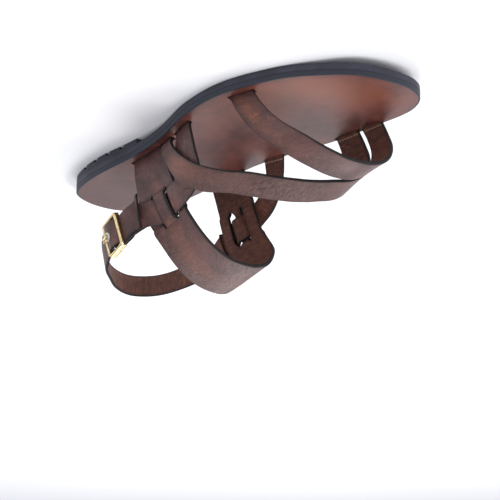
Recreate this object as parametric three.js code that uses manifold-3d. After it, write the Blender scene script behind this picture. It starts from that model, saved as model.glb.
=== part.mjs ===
// A strapped leather sandal for the left foot, in millimetres: +X to the toe, +Y to the outer side, +Z up.
// It stands empty on its sole. The straps keep the shape of the foot form that they were pulled over.
import * as THREE from "three";
import { mergeVertices } from "three/addons/utils/BufferGeometryUtils.js";
import Module from "manifold-3d";

// Sole
const soleLength = 284;
const ballWidth = 99;
const outsoleThickness = 4.6;
const insoleThickness = 3.3;
const clearance = 0.3;
const insoleMargin = 0.7; // how far the rubber stands out past the insole
const heelRise = 5.3; // how much higher the heel seat is than the forefoot
const toeSpring = 7.2; // how far the toe curls up
const heelBreast = 0.315; // front of the heel block, as a share of the sole length
const grooveWidth = 4;
const grooveDepth = 2.4;
const grooveCount = 4;
const grooveFrom = 0.098; // middles of the heel's rearmost and foremost groove, as shares of the length
const grooveTo = 0.252;
const treadDepth = 1.1; // blind grooves under the forefoot
const treadCount = 7;

// Foot form
const instepHeight = 90;
const lateralInset = 9.5; // from the sole edge to the inner face of a strap, outer side
const medialInset = 2.9; // the same on the inner side, where the straps leave at the edge

// Straps
const strapThickness = 2.6;
const heelStrapThickness = 2.1;
const foldThickness = 1.7; // the near heel strap is skived where it folds round the buckle
const weaveLift = strapThickness + 2 * clearance; // how far a strap rises where it goes over another
const slitWidth = 4.4;
const slitEndWidth = 1.0;
const slitRamp = 0.13; // share of a slit's length over which it opens at each end
const tipLength = 19; // free end past the buckle
const tipStand = 1.3; // how far the free end stands off that strap
const tipDroop = 3; // how far the free end hangs below the strap that it lies on

// Buckle
const buckleLength = 20.6;
const heelStrapWidth = 18.5;
const buckleInside = heelStrapWidth + 1.8;
const buckleBar = 1.25; // radius of the frame's bars
const centreBar = 1.1; // radius of the bar that the strap folds round
const centreDrop = 2.6; // the centre bar sits this much nearer the leg
const sideDepth = 4.8; // the frame's two side bars are deep plates that hold the centre bar
const sideWidth = 2.1;
const prongRadius = 0.75;
const eyeletOuter = 3.3;
const eyeletWall = 0.5;
const eyeletThickness = 0.7;

// The sole's outline, heel to toe along the outer side and back along the inner side.
// along is a share of the sole length, across a share of the width at the ball.
const outlineRows = [
  { along: 0, across: 0 },
  { along: 0.02, across: 0.205 },
  { along: 0.09, across: 0.308 },
  { along: 0.18, across: 0.358 },
  { along: 0.29, across: 0.37 },
  { along: 0.41, across: 0.415 },
  { along: 0.53, across: 0.522 },
  { along: 0.65, across: 0.556 },
  { along: 0.76, across: 0.49 },
  { along: 0.865, across: 0.365 },
  { along: 0.955, across: 0.2 },
  { along: 1, across: -0.035 },
  { along: 0.995, across: -0.21 },
  { along: 0.935, across: -0.37 },
  { along: 0.835, across: -0.44 },
  { along: 0.71, across: -0.455 },
  { along: 0.585, across: -0.407 },
  { along: 0.46, across: -0.366 },
  { along: 0.34, across: -0.37 },
  { along: 0.215, across: -0.385 },
  { along: 0.11, across: -0.357 },
  { along: 0.025, across: -0.215 },
];

// The footbed's height above the forefoot: lift is a share of heelRise up to the ball and of toeSpring after it.
const profileRows = [
  { along: 0, lift: 0.68 },
  { along: 0.16, lift: 1 },
  { along: 0.32, lift: 0.72 },
  { along: 0.48, lift: 0.12 },
  { along: 0.6, lift: 0 },
  { along: 0.78, lift: 0 },
  { along: 0.9, lift: 0.36 },
  { along: 1, lift: 1 },
];

// The foot form: height as a share of instepHeight, ridge as the share of the way from the inner to the outer
// base line, and the bulges of its two walls as shares of the ball width.
const formRows = [
  { along: 0.23, height: 1, ridge: 0.13, lateral: 0.05, medial: 0.14 },
  { along: 0.375, height: 0.98, ridge: 0.105, lateral: 0.062, medial: 0.128 },
  { along: 0.515, height: 0.895, ridge: 0.17, lateral: 0.078, medial: 0.13 },
  { along: 0.655, height: 0.705, ridge: 0.32, lateral: 0.076, medial: 0.11 },
  { along: 0.795, height: 0.53, ridge: 0.49, lateral: 0.066, medial: 0.066 },
  { along: 0.92, height: 0.43, ridge: 0.62, lateral: 0.06, medial: 0.045 },
];

// Straps over the form. turn goes from 0 at the outer base to 180 at the inner base; front and rear are the
// two edges as shares of the sole length; lift is a share of weaveLift.
const toeStrapRows = [
  { turn: 0, front: 0.714, rear: 0.654, lift: 0 },
  { turn: 25, front: 0.766, rear: 0.705, lift: 0 },
  { turn: 50, front: 0.822, rear: 0.755, lift: 0 },
  { turn: 75, front: 0.855, rear: 0.785, lift: 0 },
  { turn: 100, front: 0.872, rear: 0.799, lift: 0 },
  { turn: 125, front: 0.878, rear: 0.806, lift: 0 },
  { turn: 150, front: 0.87, rear: 0.804, lift: 0 },
  { turn: 168, front: 0.852, rear: 0.792, lift: 0 },
  { turn: 180, front: 0.84, rear: 0.779, lift: 0 },
];
const instepStrapRows = [
  { turn: 0, front: 0.426, rear: 0.388, lift: 0 },
  { turn: 5, front: 0.446, rear: 0.4, lift: 0.95 },
  { turn: 12, front: 0.478, rear: 0.425, lift: 1.1 },
  { turn: 25, front: 0.543, rear: 0.472, lift: 1.1 },
  { turn: 38, front: 0.612, rear: 0.535, lift: 0.9 },
  { turn: 50, front: 0.672, rear: 0.6, lift: 0.2 },
  { turn: 75, front: 0.747, rear: 0.68, lift: 0 },
  { turn: 100, front: 0.79, rear: 0.724, lift: 0 },
  { turn: 125, front: 0.802, rear: 0.732, lift: 0 },
  { turn: 150, front: 0.796, rear: 0.724, lift: 0 },
  { turn: 168, front: 0.78, rear: 0.712, lift: 0 },
  { turn: 180, front: 0.768, rear: 0.704, lift: 0 },
];
const bandRows = [
  { turn: 0, front: 0.381, rear: 0.271, lift: 0 },
  { turn: 25, front: 0.444, rear: 0.303, lift: 0 },
  { turn: 50, front: 0.476, rear: 0.345, lift: 0 },
  { turn: 75, front: 0.488, rear: 0.36, lift: 0 },
  { turn: 100, front: 0.51, rear: 0.377, lift: 0 },
  { turn: 125, front: 0.505, rear: 0.374, lift: 0 },
  { turn: 150, front: 0.458, rear: 0.338, lift: 0 },
  { turn: 180, front: 0.43, rear: 0.317, lift: 0 },
];
// Two slits on each side of the band let the heel strap weave through. front and rear are their places
// across the band, as shares of its width from its front edge.
const slitRows = [
  { from: 19.8, to: 42.2, front: 0.25, rear: 0.66 },
  { from: 142, to: 166.5, front: 0.36, rear: 0.66 },
];
// Where the heel strap weaves, the band's middle strip stands out and its outer strips sink in.
const middleLift = 0.53;
const sideLift = -0.41;

// The heel strap's two ends on the form: top and bottom edges, each with its own turn.
const nearWeaveRows = [
  { top: 0.51, topTurn: 0, bottom: 0.446, bottomTurn: 0, lift: 0 },
  { top: 0.536, topTurn: 14, bottom: 0.452, bottomTurn: 12, lift: 0 },
  { top: 0.548, topTurn: 26, bottom: 0.457, bottomTurn: 20, lift: 0 },
  { top: 0.532, topTurn: 34, bottom: 0.454, bottomTurn: 23.5, lift: 0.05 },
  { top: 0.495, topTurn: 37.5, bottom: 0.444, bottomTurn: 24, lift: 0.45 },
  { top: 0.455, topTurn: 38, bottom: 0.43, bottomTurn: 24, lift: 0.56 },
  { top: 0.436, topTurn: 38, bottom: 0.417, bottomTurn: 24, lift: 0.54 },
  { top: 0.419, topTurn: 38, bottom: 0.4, bottomTurn: 24, lift: -0.32 },
  { top: 0.38, topTurn: 38, bottom: 0.358, bottomTurn: 24, lift: -0.34 },
  { top: 0.362, topTurn: 37, bottom: 0.34, bottomTurn: 23.4, lift: 0.55 },
  { top: 0.33, topTurn: 35, bottom: 0.31, bottomTurn: 21.8, lift: 0.9 },
];
const farWeaveRows = [
  { top: 0.556, topTurn: 180, bottom: 0.5, bottomTurn: 180, lift: 0 },
  { top: 0.543, topTurn: 170, bottom: 0.496, bottomTurn: 173, lift: 0 },
  { top: 0.518, topTurn: 160, bottom: 0.474, bottomTurn: 167, lift: 0.2 },
  { top: 0.49, topTurn: 154, bottom: 0.45, bottomTurn: 163.5, lift: 0.5 },
  { top: 0.455, topTurn: 150, bottom: 0.424, bottomTurn: 161.5, lift: 0.56 },
  { top: 0.431, topTurn: 147.5, bottom: 0.413, bottomTurn: 160.5, lift: 0.56 },
  { top: 0.413, topTurn: 146.5, bottom: 0.395, bottomTurn: 160, lift: -0.34 },
  { top: 0.391, topTurn: 146, bottom: 0.374, bottomTurn: 159.5, lift: -0.36 },
  { top: 0.373, topTurn: 145.5, bottom: 0.356, bottomTurn: 158.5, lift: 0.62 },
  { top: 0.335, topTurn: 144, bottom: 0.315, bottomTurn: 156, lift: 0.9 },
];

// The sling round the heel, from behind the buckle to the inner side: middle of the strap, with along and
// across as shares of the sole's length and ball width, up as a share of instepHeight above the floor, and
// lean as how far the bottom edge stands out past the top edge for each millimetre of width.
const slingRows = [
  { along: 0.145, across: 0.2, up: 0.785, lean: 0.2 },
  { along: 0.112, across: 0.085, up: 0.81, lean: 0.28 },
  { along: 0.082, across: -0.06, up: 0.83, lean: 0.32 },
  { along: 0.072, across: -0.24, up: 0.83, lean: 0.34 },
  { along: 0.108, across: -0.4, up: 0.81, lean: 0.3 },
  { along: 0.175, across: -0.49, up: 0.765, lean: 0.14 },
  { along: 0.25, across: -0.515, up: 0.71, lean: 0 },
];
// The buckle's middle, in the same shares.
const bucklePlace = { along: 0.222, across: 0.34, up: 0.715, lean: 0.26 };
const buckleHeading = { along: -0.93, across: -0.34, up: 0.14 };

// Materials
const leather = new THREE.MeshStandardMaterial({ color: 0x5a2c1e, roughness: 0.5, metalness: 0 });
const footbedLeather = new THREE.MeshStandardMaterial({ color: 0x6b3420, roughness: 0.45, metalness: 0 });
const soleRubber = new THREE.MeshStandardMaterial({ color: 0x23262e, roughness: 0.6, metalness: 0 });
const brass = new THREE.MeshStandardMaterial({ color: 0xc9a24a, roughness: 0.25, metalness: 1 });
const nickel = new THREE.MeshStandardMaterial({ color: 0xb9b6b0, roughness: 0.3, metalness: 1 });

// A smooth curve through points with rising or falling x. It never overshoots its rows.
function smoothThrough(xs, ys) {
  const n = xs.length;
  const slopes = [];
  for (let i = 0; i < n; i++) {
    if (i === 0 || i === n - 1) {
      const k = Math.min(i, n - 2);
      slopes.push((ys[k + 1] - ys[k]) / (xs[k + 1] - xs[k]));
      continue;
    }
    const before = (ys[i] - ys[i - 1]) / (xs[i] - xs[i - 1]);
    const after = (ys[i + 1] - ys[i]) / (xs[i + 1] - xs[i]);
    slopes.push(before * after <= 0 ? 0 : (2 * before * after) / (before + after));
  }
  return (x) => {
    let k = 0;
    while (k < n - 2 && x > xs[k + 1]) k++;
    const span = xs[k + 1] - xs[k];
    const t = Math.min(1, Math.max(0, (x - xs[k]) / span));
    const a = 2 * t ** 3 - 3 * t ** 2 + 1;
    const b = t ** 3 - 2 * t ** 2 + t;
    const c = 3 * t ** 2 - 2 * t ** 3;
    const d = t ** 3 - t ** 2;
    return a * ys[k] + b * span * slopes[k] + c * ys[k + 1] + d * span * slopes[k + 1];
  };
}

// One column of a table as a smooth function of the row number.
const columnOf = (rows, name) => smoothThrough(rows.map((r, i) => i), rows.map((r) => r[name]));

// Sole form
const alongToX = (share) => (share - 0.5) * soleLength;
const outlineCurve = new THREE.CatmullRomCurve3(
  outlineRows.map((r) => new THREE.Vector3(alongToX(r.along), r.across * ballWidth, 0)),
  true,
  "centripetal",
);
const outlinePoints = outlineCurve.getSpacedPoints(720);

// The outline's y at x on one side: +1 is the outer side.
function edgeAt(x, side) {
  let best = 0;
  for (let i = 0; i < outlinePoints.length - 1; i++) {
    const p = outlinePoints[i];
    const q = outlinePoints[i + 1];
    if ((p.x - x) * (q.x - x) > 0 || p.x === q.x) continue;
    const y = p.y + ((q.y - p.y) * (x - p.x)) / (q.x - p.x);
    const outer = side > 0 ? q.x > p.x : q.x < p.x;
    if (outer) best = y;
  }
  return best;
}

const profile = smoothThrough(
  profileRows.map((r) => alongToX(r.along)),
  profileRows.map((r) => r.lift * (r.along > 0.7 ? toeSpring : heelRise)),
);
const forefootTop = outsoleThickness + clearance + insoleThickness;
const footbedTop = (x) => forefootTop + profile(x);
const insoleBottom = (x) => footbedTop(x) - insoleThickness;
const outsoleTop = (x) => insoleBottom(x) - clearance;
const outsoleBottom = (x) => outsoleTop(x) - outsoleThickness;

// Builds a closed mesh from a grid of inner and outer points; present says which cells are leather.
function gridSolid(inner, outer, present = () => true) {
  const rows = inner.length;
  const columns = inner[0].length;
  const points = [...inner.flat(), ...outer.flat()];
  const at = (layer, i, j) => layer * rows * columns + i * columns + j;
  const index = [];
  const quad = (a, b, c, d) => index.push(a, b, c, a, c, d);
  const has = (i, j) => i >= 0 && j >= 0 && i < rows - 1 && j < columns - 1 && present(i, j);
  for (let i = 0; i < rows - 1; i++) {
    for (let j = 0; j < columns - 1; j++) {
      if (!has(i, j)) continue;
      quad(at(1, i, j), at(1, i + 1, j), at(1, i + 1, j + 1), at(1, i, j + 1));
      quad(at(0, i, j), at(0, i, j + 1), at(0, i + 1, j + 1), at(0, i + 1, j));
      if (!has(i - 1, j)) quad(at(0, i, j), at(1, i, j), at(1, i, j + 1), at(0, i, j + 1));
      if (!has(i + 1, j)) quad(at(0, i + 1, j + 1), at(1, i + 1, j + 1), at(1, i + 1, j), at(0, i + 1, j));
      if (!has(i, j - 1)) quad(at(0, i + 1, j), at(1, i + 1, j), at(1, i, j), at(0, i, j));
      if (!has(i, j + 1)) quad(at(0, i, j + 1), at(1, i, j + 1), at(1, i + 1, j + 1), at(0, i + 1, j + 1));
    }
  }
  let volume = 0;
  for (let k = 0; k < index.length; k += 3) {
    const [a, b, c] = [points[index[k]], points[index[k + 1]], points[index[k + 2]]];
    volume += a.dot(b.clone().cross(c));
  }
  if (volume < 0) index.reverse();
  const geometry = new THREE.BufferGeometry();
  geometry.setAttribute("position", new THREE.Float32BufferAttribute(points.flatMap((p) => [p.x, p.y, p.z]), 3));
  geometry.setIndex(index);
  return geometry;
}

// A slab of the sole between two heights, inset from the outline, from one x to another.
function slab(inset, low, high, fromX, toX, stations) {
  const inner = [];
  const outer = [];
  for (let i = 0; i <= stations; i++) {
    const x = fromX + ((toX - fromX) * (1 - Math.cos((Math.PI * i) / stations))) / 2;
    const middle = (edgeAt(x, 1) + edgeAt(x, -1)) / 2;
    const half = Math.max(0.4, (edgeAt(x, 1) - edgeAt(x, -1)) / 2);
    const kept = Math.max(0.35, half - inset);
    const row = [-1, -0.4, 0.4, 1].map((s) => middle + s * kept);
    inner.push(row.map((y) => new THREE.Vector3(x, y, low(x))));
    outer.push(row.map((y) => new THREE.Vector3(x, y, high(x))));
  }
  return gridSolid(inner, outer);
}

// Foot form
const formAlong = formRows.map((r) => alongToX(r.along));
const formHeight = smoothThrough(formAlong, formRows.map((r) => r.height * instepHeight));
const formRidge = smoothThrough(formAlong, formRows.map((r) => r.ridge));
const formLateral = smoothThrough(formAlong, formRows.map((r) => r.lateral * ballWidth));
const formMedial = smoothThrough(formAlong, formRows.map((r) => r.medial * ballWidth));

function formBare(x, turn) {
  const angle = THREE.MathUtils.degToRad(turn);
  const outerBase = edgeAt(x, 1) - lateralInset;
  const innerBase = edgeAt(x, -1) + medialInset;
  const ridge = innerBase + (outerBase - innerBase) * formRidge(x);
  const outside = turn <= 90;
  const reach = outside ? outerBase - ridge : ridge - innerBase;
  const bulge = (outside ? 1 : -1) * (outside ? formLateral(x) : formMedial(x)) * Math.abs(Math.sin(2 * angle));
  return new THREE.Vector3(
    x,
    ridge + reach * Math.cos(angle) + bulge,
    footbedTop(x) + formHeight(x) * Math.sin(angle),
  );
}

// A point on the form, lifted off it along its normal.
function formAt(share, turn, lift) {
  const x = alongToX(share);
  const here = formBare(x, turn);
  if (lift === 0) return here;
  const t = Math.min(179, Math.max(1, turn));
  const alongX = formBare(x + 1, t).sub(formBare(x - 1, t));
  const alongTurn = formBare(x, t + 1).sub(formBare(x, t - 1));
  return here.addScaledVector(alongTurn.cross(alongX).normalize(), lift);
}

// Turns rows of points on a strap's inner face into a solid strap. Each row runs from one edge to the other;
// side is 1 where the outer face lies to the left of the run seen with the first edge up, else -1.
function ribbon(rows, thickness, side, present) {
  const thicknessAt = typeof thickness === "function" ? thickness : () => thickness;
  const last = rows.length - 1;
  const wide = rows[0].length - 1;
  const outer = rows.map((row, i) =>
    row.map((p, j) => {
      const forward = rows[Math.min(last, i + 1)][j].clone().sub(rows[Math.max(0, i - 1)][j]);
      const across = row[Math.min(wide, j + 1)].clone().sub(row[Math.max(0, j - 1)]);
      return p.clone().addScaledVector(across.cross(forward).normalize(), side * thicknessAt(i));
    }),
  );
  return gridSolid(rows, outer, present);
}

const tailZ = (x) => insoleBottom(x);
const dropTo = (p) => new THREE.Vector3(p.x, p.y, tailZ(p.x));

// Slots in the insole for the strap ends that go down into it.
const slotCutters = [];
function slotFor(inner, outer, open) {
  const ends = [inner[0], inner[inner.length - 1]];
  const run = ends[1].clone().sub(ends[0]).setZ(0).normalize();
  const grow = (p, i, list) => {
    const q = p.clone();
    if (i === 0) q.addScaledVector(run, -clearance * 4.5);
    if (i === list.length - 1) q.addScaledVector(run, clearance * 4.5);
    return q;
  };
  const outward = outer[0].clone().sub(inner[0]).setZ(0).normalize();
  const reach = clearance * 1.3;
  const a = inner.map(grow).map((p) => p.addScaledVector(outward, -reach));
  const b = outer.map(grow).map((p) => p.addScaledVector(outward, open ? 12 : 4 * reach));
  const level = (list, z) => list.map((p) => new THREE.Vector3(p.x, p.y, z));
  slotCutters.push(gridSolid([level(a, -20), level(a, 60)], [level(b, -20), level(b, 60)]));
}

// Rows of a strap over the form from its table, both ends let into the insole.
function overForm(rows, stations, places, liftOf) {
  const turn = columnOf(rows, "turn");
  const front = columnOf(rows, "front");
  const rear = columnOf(rows, "rear");
  const lift = columnOf(rows, "lift");
  const inner = [];
  const turns = [];
  for (let i = 0; i <= stations; i++) {
    const t = ((rows.length - 1) * i) / stations;
    turns.push(turn(t));
    inner.push(
      places(turn(t)).map((w, j) =>
        formAt(front(t) + (rear(t) - front(t)) * w, turn(t), lift(t) * weaveLift + liftOf(turn(t), j)),
      ),
    );
  }
  return { inner, turns };
}

// Adds the straight tails that go down into the insole, and notes their slots.
function letIn(rows, thickness, bottomEnd, topEnd) {
  const made = rows.map((row) => row.slice());
  const tail = (row, open, sign) => {
    const run = row[row.length - 1].clone().sub(row[0]);
    const side = new THREE.Vector3(run.y, -run.x, 0).normalize();
    if (side.y * sign < 0) side.negate();
    const outer = row.map((p) => p.clone().addScaledVector(side, thickness));
    slotFor(row, outer, open);
    return row.map(dropTo);
  };
  if (bottomEnd) made.unshift(tail(rows[0], bottomEnd === "edge", bottomEnd === "edge" ? -1 : 1));
  if (topEnd) made.push(tail(rows[rows.length - 1], topEnd === "edge", topEnd === "edge" ? -1 : 1));
  return made;
}

const evenPlaces = (count) => () => Array.from({ length: count + 1 }, (v, i) => i / count);

function plainStrap(rows, stations) {
  const { inner } = overForm(rows, stations, evenPlaces(3), () => 0);
  return ribbon(letIn(inner, strapThickness, "slot", "edge"), strapThickness, 1);
}

// How open a slit is at a turn: 0 at its ends and beyond, 1 along its middle.
function slitOpen(turn) {
  for (const s of slitRows) {
    if (turn <= s.from || turn >= s.to) continue;
    const edge = Math.min(turn - s.from, s.to - turn) / (slitRamp * (s.to - s.from));
    return Math.min(1, edge) ** 2 * (3 - 2 * Math.min(1, edge));
  }
  return 0;
}
const slitAt = (turn) => slitRows[turn < 90 ? 0 : 1];
const bandWidth = (bandRows[3].front - bandRows[3].rear) * soleLength;

function bandPlaces(turn) {
  const share = smoothThrough([44, 138], [0, 1])(turn);
  const front = slitRows[0].front + (slitRows[1].front - slitRows[0].front) * share;
  const rear = slitRows[0].rear + (slitRows[1].rear - slitRows[0].rear) * share;
  const half = (slitEndWidth + (slitWidth - slitEndWidth) * slitOpen(turn)) / 2 / bandWidth;
  return [
    0,
    (front - half) * 0.5,
    front - half,
    front + half,
    (front + rear) / 2,
    rear - half,
    rear + half,
    (1 + rear + half) / 2,
    1,
  ];
}

function instepBand(stations) {
  const stripLift = (turn, j) => (j >= 3 && j <= 5 ? middleLift : sideLift) * slitOpen(turn) * weaveLift;
  const { inner, turns } = overForm(bandRows, stations, bandPlaces, stripLift);
  const rows = letIn(inner, strapThickness, "slot", "edge");
  const inSlit = (turn) => slitRows.some((s) => turn > s.from && turn < s.to);
  const present = (i, j) => {
    if (j !== 2 && j !== 5) return true;
    const k = i - 1;
    return k < 0 || k >= turns.length - 1 || !(inSlit(turns[k]) && inSlit(turns[k + 1]));
  };
  return ribbon(rows, strapThickness, 1, present);
}

// Heel strap, part on the form
function weaveRows(rows, stations, columns) {
  const top = columnOf(rows, "top");
  const topTurn = columnOf(rows, "topTurn");
  const bottom = columnOf(rows, "bottom");
  const bottomTurn = columnOf(rows, "bottomTurn");
  const lift = columnOf(rows, "lift");
  const made = [];
  for (let i = 0; i <= stations; i++) {
    const t = ((rows.length - 1) * i) / stations;
    const row = [];
    for (let j = 0; j <= columns; j++) {
      const w = j / columns;
      const share = top(t) + (bottom(t) - top(t)) * w;
      const turn = topTurn(t) + (bottomTurn(t) - topTurn(t)) * w;
      row.push(formAt(share, turn, lift(t) * weaveLift));
    }
    made.push(row);
  }
  return made;
}

// Buckle frame of reference: heading runs back along the strap, out away from the leg, up across the strap.
const buckleMiddle = new THREE.Vector3(
  alongToX(bucklePlace.along),
  bucklePlace.across * ballWidth,
  bucklePlace.up * instepHeight,
);
const heading = new THREE.Vector3(buckleHeading.along, buckleHeading.across, buckleHeading.up).normalize();
const upward = new THREE.Vector3(0, -bucklePlace.lean, 1);
upward.addScaledVector(heading, -upward.dot(heading)).normalize();
const outward = heading.clone().cross(upward).normalize();
const buckleSpot = (along, level, height = 0) =>
  buckleMiddle
    .clone()
    .addScaledVector(heading, along)
    .addScaledVector(outward, level)
    .addScaledVector(upward, height);

// The levels of the layers inside the buckle, measured outward from the frame's middle plane.
const underBar = -buckleBar - clearance;
const tipInner = underBar - heelStrapThickness;
const foldOuter = tipInner - 2 * clearance;
const foldInner = foldOuter - foldThickness;
const flapOuter = foldInner - clearance;
const foldRadius = centreBar + clearance;
const overFold = -centreDrop + foldRadius + foldThickness + clearance;
const halfBuckle = buckleLength / 2;
const prongLoop = centreBar + clearance + prongRadius;
const prongAt = prongLoop; // where the prong rises through the strap

// Strap rows from a list of middle points with a width direction each.
function rowsAcross(spots, width, columns) {
  return spots.map(({ middle, up }) =>
    Array.from({ length: columns + 1 }, (v, j) =>
      middle.clone().addScaledVector(up, width * (0.5 - j / columns)),
    ),
  );
}

// A smooth run through middle points, each with its own width direction.
function smoothSpots(spots, count) {
  const path = new THREE.CatmullRomCurve3(spots.map((s) => s.middle), false, "centripetal");
  const ups = new THREE.CatmullRomCurve3(spots.map((s) => s.up.clone()), false, "centripetal");
  const made = [];
  for (let i = 0; i <= count; i++) {
    made.push({ middle: path.getPoint(i / count), up: ups.getPoint(i / count).normalize() });
  }
  return made;
}

const rowSpot = (row) => ({
  middle: row[0].clone().add(row[row.length - 1]).multiplyScalar(0.5),
  up: row[0].clone().sub(row[row.length - 1]).normalize(),
});
const strapColumns = 3;

function nearHeelStrap() {
  const woven = weaveRows(nearWeaveRows, 50, strapColumns);
  const exit = rowSpot(woven[woven.length - 1]);
  const before = rowSpot(woven[woven.length - 3]);
  const inBuckle = (along, level) => ({ middle: buckleSpot(along, level), up: upward.clone() });
  const run = smoothSpots(
    [before, exit, inBuckle(-halfBuckle - 3.5, foldInner - 0.5), inBuckle(-halfBuckle, foldInner)],
    20,
  ).filter((s, i) => i > 7);
  // round the centre bar, then back on the leg side
  const fold = [];
  const rise = (foldInner + centreDrop - foldRadius) / 2 - centreDrop + foldRadius;
  fold.push(inBuckle(-halfBuckle * 0.72, foldInner * 0.9));
  fold.push(inBuckle(-halfBuckle * 0.42, rise));
  for (let k = 0; k <= 6; k++) {
    const angle = THREE.MathUtils.degToRad(115 - (k * 230) / 6);
    fold.push(inBuckle(foldRadius * Math.cos(angle), -centreDrop + foldRadius * Math.sin(angle)));
  }
  fold.push(inBuckle(-halfBuckle * 0.42, (flapOuter - centreDrop - foldRadius) / 2 - 0.35));
  fold.push(inBuckle(-halfBuckle * 0.75, flapOuter * 0.94));
  fold.push(inBuckle(-halfBuckle, flapOuter));
  fold.push(inBuckle(-halfBuckle - 6, flapOuter));
  const free = rowsAcross([...run, ...fold], heelStrapWidth, strapColumns);
  const rows = letIn([...woven, ...free], heelStrapThickness, "slot", null);
  const skiveFrom = rows.length - fold.length - 12;
  const thickness = (i) => {
    const share = THREE.MathUtils.clamp((i - skiveFrom) / 4, 0, 1);
    return heelStrapThickness + (foldThickness - heelStrapThickness) * share;
  };
  return { rows, thickness, run };
}

// near is the run of the near strap up to the buckle: the sling's free end lies on it.
function sling(near) {
  const woven = weaveRows(farWeaveRows, 40, strapColumns);
  const exit = rowSpot(woven[woven.length - 1]);
  const before = rowSpot(woven[woven.length - 3]);
  const round = slingRows.map((r) => {
    const middle = new THREE.Vector3(alongToX(r.along), r.across * ballWidth, r.up * instepHeight);
    const centre = new THREE.Vector3(alongToX(0.24), -0.06 * ballWidth, middle.z);
    const away = middle.clone().sub(centre).normalize();
    return { middle, up: new THREE.Vector3(0, 0, 1).addScaledVector(away, -r.lean).normalize() };
  });
  round.reverse();
  const inBuckle = (along, level, drop = 0) => ({ middle: buckleSpot(along, level, drop), up: upward.clone() });
  const spots = [
    before,
    exit,
    ...round,
    inBuckle(halfBuckle + 7, underBar - heelStrapThickness),
    inBuckle(halfBuckle, tipInner),
    inBuckle(halfBuckle - 1.8, tipInner + 0.1),
    inBuckle((halfBuckle + prongAt + 1.2) / 2, (tipInner + overFold) / 2),
    inBuckle(prongAt + 1.2, overFold),
    inBuckle(-1.4, overFold),
    inBuckle(-(halfBuckle + 1.4) / 2, (tipInner + overFold) / 2 + 0.3),
    inBuckle(-halfBuckle + 1.8, tipInner + 0.1),
    inBuckle(-halfBuckle, tipInner - 0.1),
  ];
  const layer = heelStrapThickness + 2.6 * clearance;
  const placeOf = (spot) => spot.middle.clone().sub(buckleMiddle).dot(heading);
  for (const share of [0.25, 0.6, 1]) {
    const want = -halfBuckle - tipLength * share;
    const at = near.reduce((a, b) => (Math.abs(placeOf(a) - want) < Math.abs(placeOf(b) - want) ? a : b));
    const k = near.indexOf(at);
    const along = near[Math.min(near.length - 1, k + 1)].middle.clone().sub(near[Math.max(0, k - 1)].middle);
    const away = along.clone().cross(at.up).normalize();
    const off = layer + tipStand * share ** 2;
    const middle = at.middle.clone().addScaledVector(away, off).addScaledVector(at.up, -tipDroop * share);
    spots.push({ middle, up: at.up.clone() });
  }
  const run = smoothSpots(spots, 84).filter((s, i) => i > 3);
  const free = rowsAcross(run, heelStrapWidth, strapColumns);
  return letIn([...woven, ...free], heelStrapThickness, "edge", null);
}

// Booleans
const wasm = await Module();
wasm.setup();
function toSolid(geometry) {
  const bare = geometry.clone();
  bare.deleteAttribute("normal");
  bare.deleteAttribute("uv");
  const merged = mergeVertices(bare, 1e-4);
  return new wasm.Manifold(
    new wasm.Mesh({
      numProp: 3,
      vertProperties: new Float32Array(merged.attributes.position.array),
      triVerts: new Uint32Array(merged.index.array),
    }),
  );
}
function toGeometry(solid) {
  const mesh = solid.getMesh();
  const geometry = new THREE.BufferGeometry();
  geometry.setAttribute("position", new THREE.BufferAttribute(new Float32Array(mesh.vertProperties), 3));
  geometry.setIndex(new THREE.BufferAttribute(new Uint32Array(mesh.triVerts), 1));
  return geometry;
}
function boxAt(size, place, rotation = 0) {
  const box = new THREE.BoxGeometry(size[0], size[1], size[2]);
  box.rotateZ(rotation);
  box.translate(place[0], place[1], place[2]);
  return box;
}

// A round rod along a path, with closed ends
function rodAlong(points, radius, steps, sides) {
  const path = new THREE.CatmullRomCurve3(points, false, "centripetal");
  const shape = new THREE.Shape();
  shape.absarc(0, 0, radius, 0, Math.PI * 2);
  return new THREE.ExtrudeGeometry(shape, { steps, curveSegments: sides, bevelEnabled: false, extrudePath: path });
}
// Turns a shape made round +Z so that +Z points outward from the buckle.
const buckleTurn = new THREE.Matrix4().makeBasis(heading, outward.clone().cross(heading), outward);
function onBuckle(geometry, along, level) {
  return geometry.applyMatrix4(buckleTurn).applyMatrix4(new THREE.Matrix4().setPosition(buckleSpot(along, level)));
}

const sandal = new THREE.Group();
function addPiece(name, geometry, material) {
  geometry.computeVertexNormals();
  const mesh = new THREE.Mesh(geometry, material);
  mesh.name = name;
  sandal.add(mesh);
  return mesh;
}

// Straps come first, because their ends decide the slots in the insole.
const toeStrap = plainStrap(toeStrapRows, 40);
const instepStrap = plainStrap(instepStrapRows, 52);
const band = instepBand(56);
const near = nearHeelStrap();
const nearRibbon = ribbon(near.rows, near.thickness, 1);
const slingRibbon = ribbon(sling(near.run), heelStrapThickness, -1);

// Outsole with its cross grooves
const heelX = alongToX(0) + 0.2;
const toeX = alongToX(1) - 0.2;
const breastX = alongToX(heelBreast);
let outsoleSolid = toSolid(slab(-insoleMargin, outsoleBottom, outsoleTop, heelX, toeX, 40));
for (let i = 0; i < treadCount; i++) {
  const x = alongToX(0.6 + (0.24 * i) / (treadCount - 1));
  const reach = ballWidth * 0.34;
  outsoleSolid = outsoleSolid.subtract(toSolid(boxAt([2.4, reach * 2, 2 * treadDepth], [x, 0, 0], 0.12)));
}

// Heel block
let heelSolid = toSolid(slab(-insoleMargin, () => 0, (x) => outsoleBottom(x) - clearance, heelX, breastX, 26));
for (let i = 0; i < grooveCount; i++) {
  const x = alongToX(grooveFrom + ((grooveTo - grooveFrom) * i) / (grooveCount - 1));
  heelSolid = heelSolid.subtract(toSolid(boxAt([grooveWidth, ballWidth * 1.2, 2 * grooveDepth], [x, 0, 0])));
}

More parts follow.
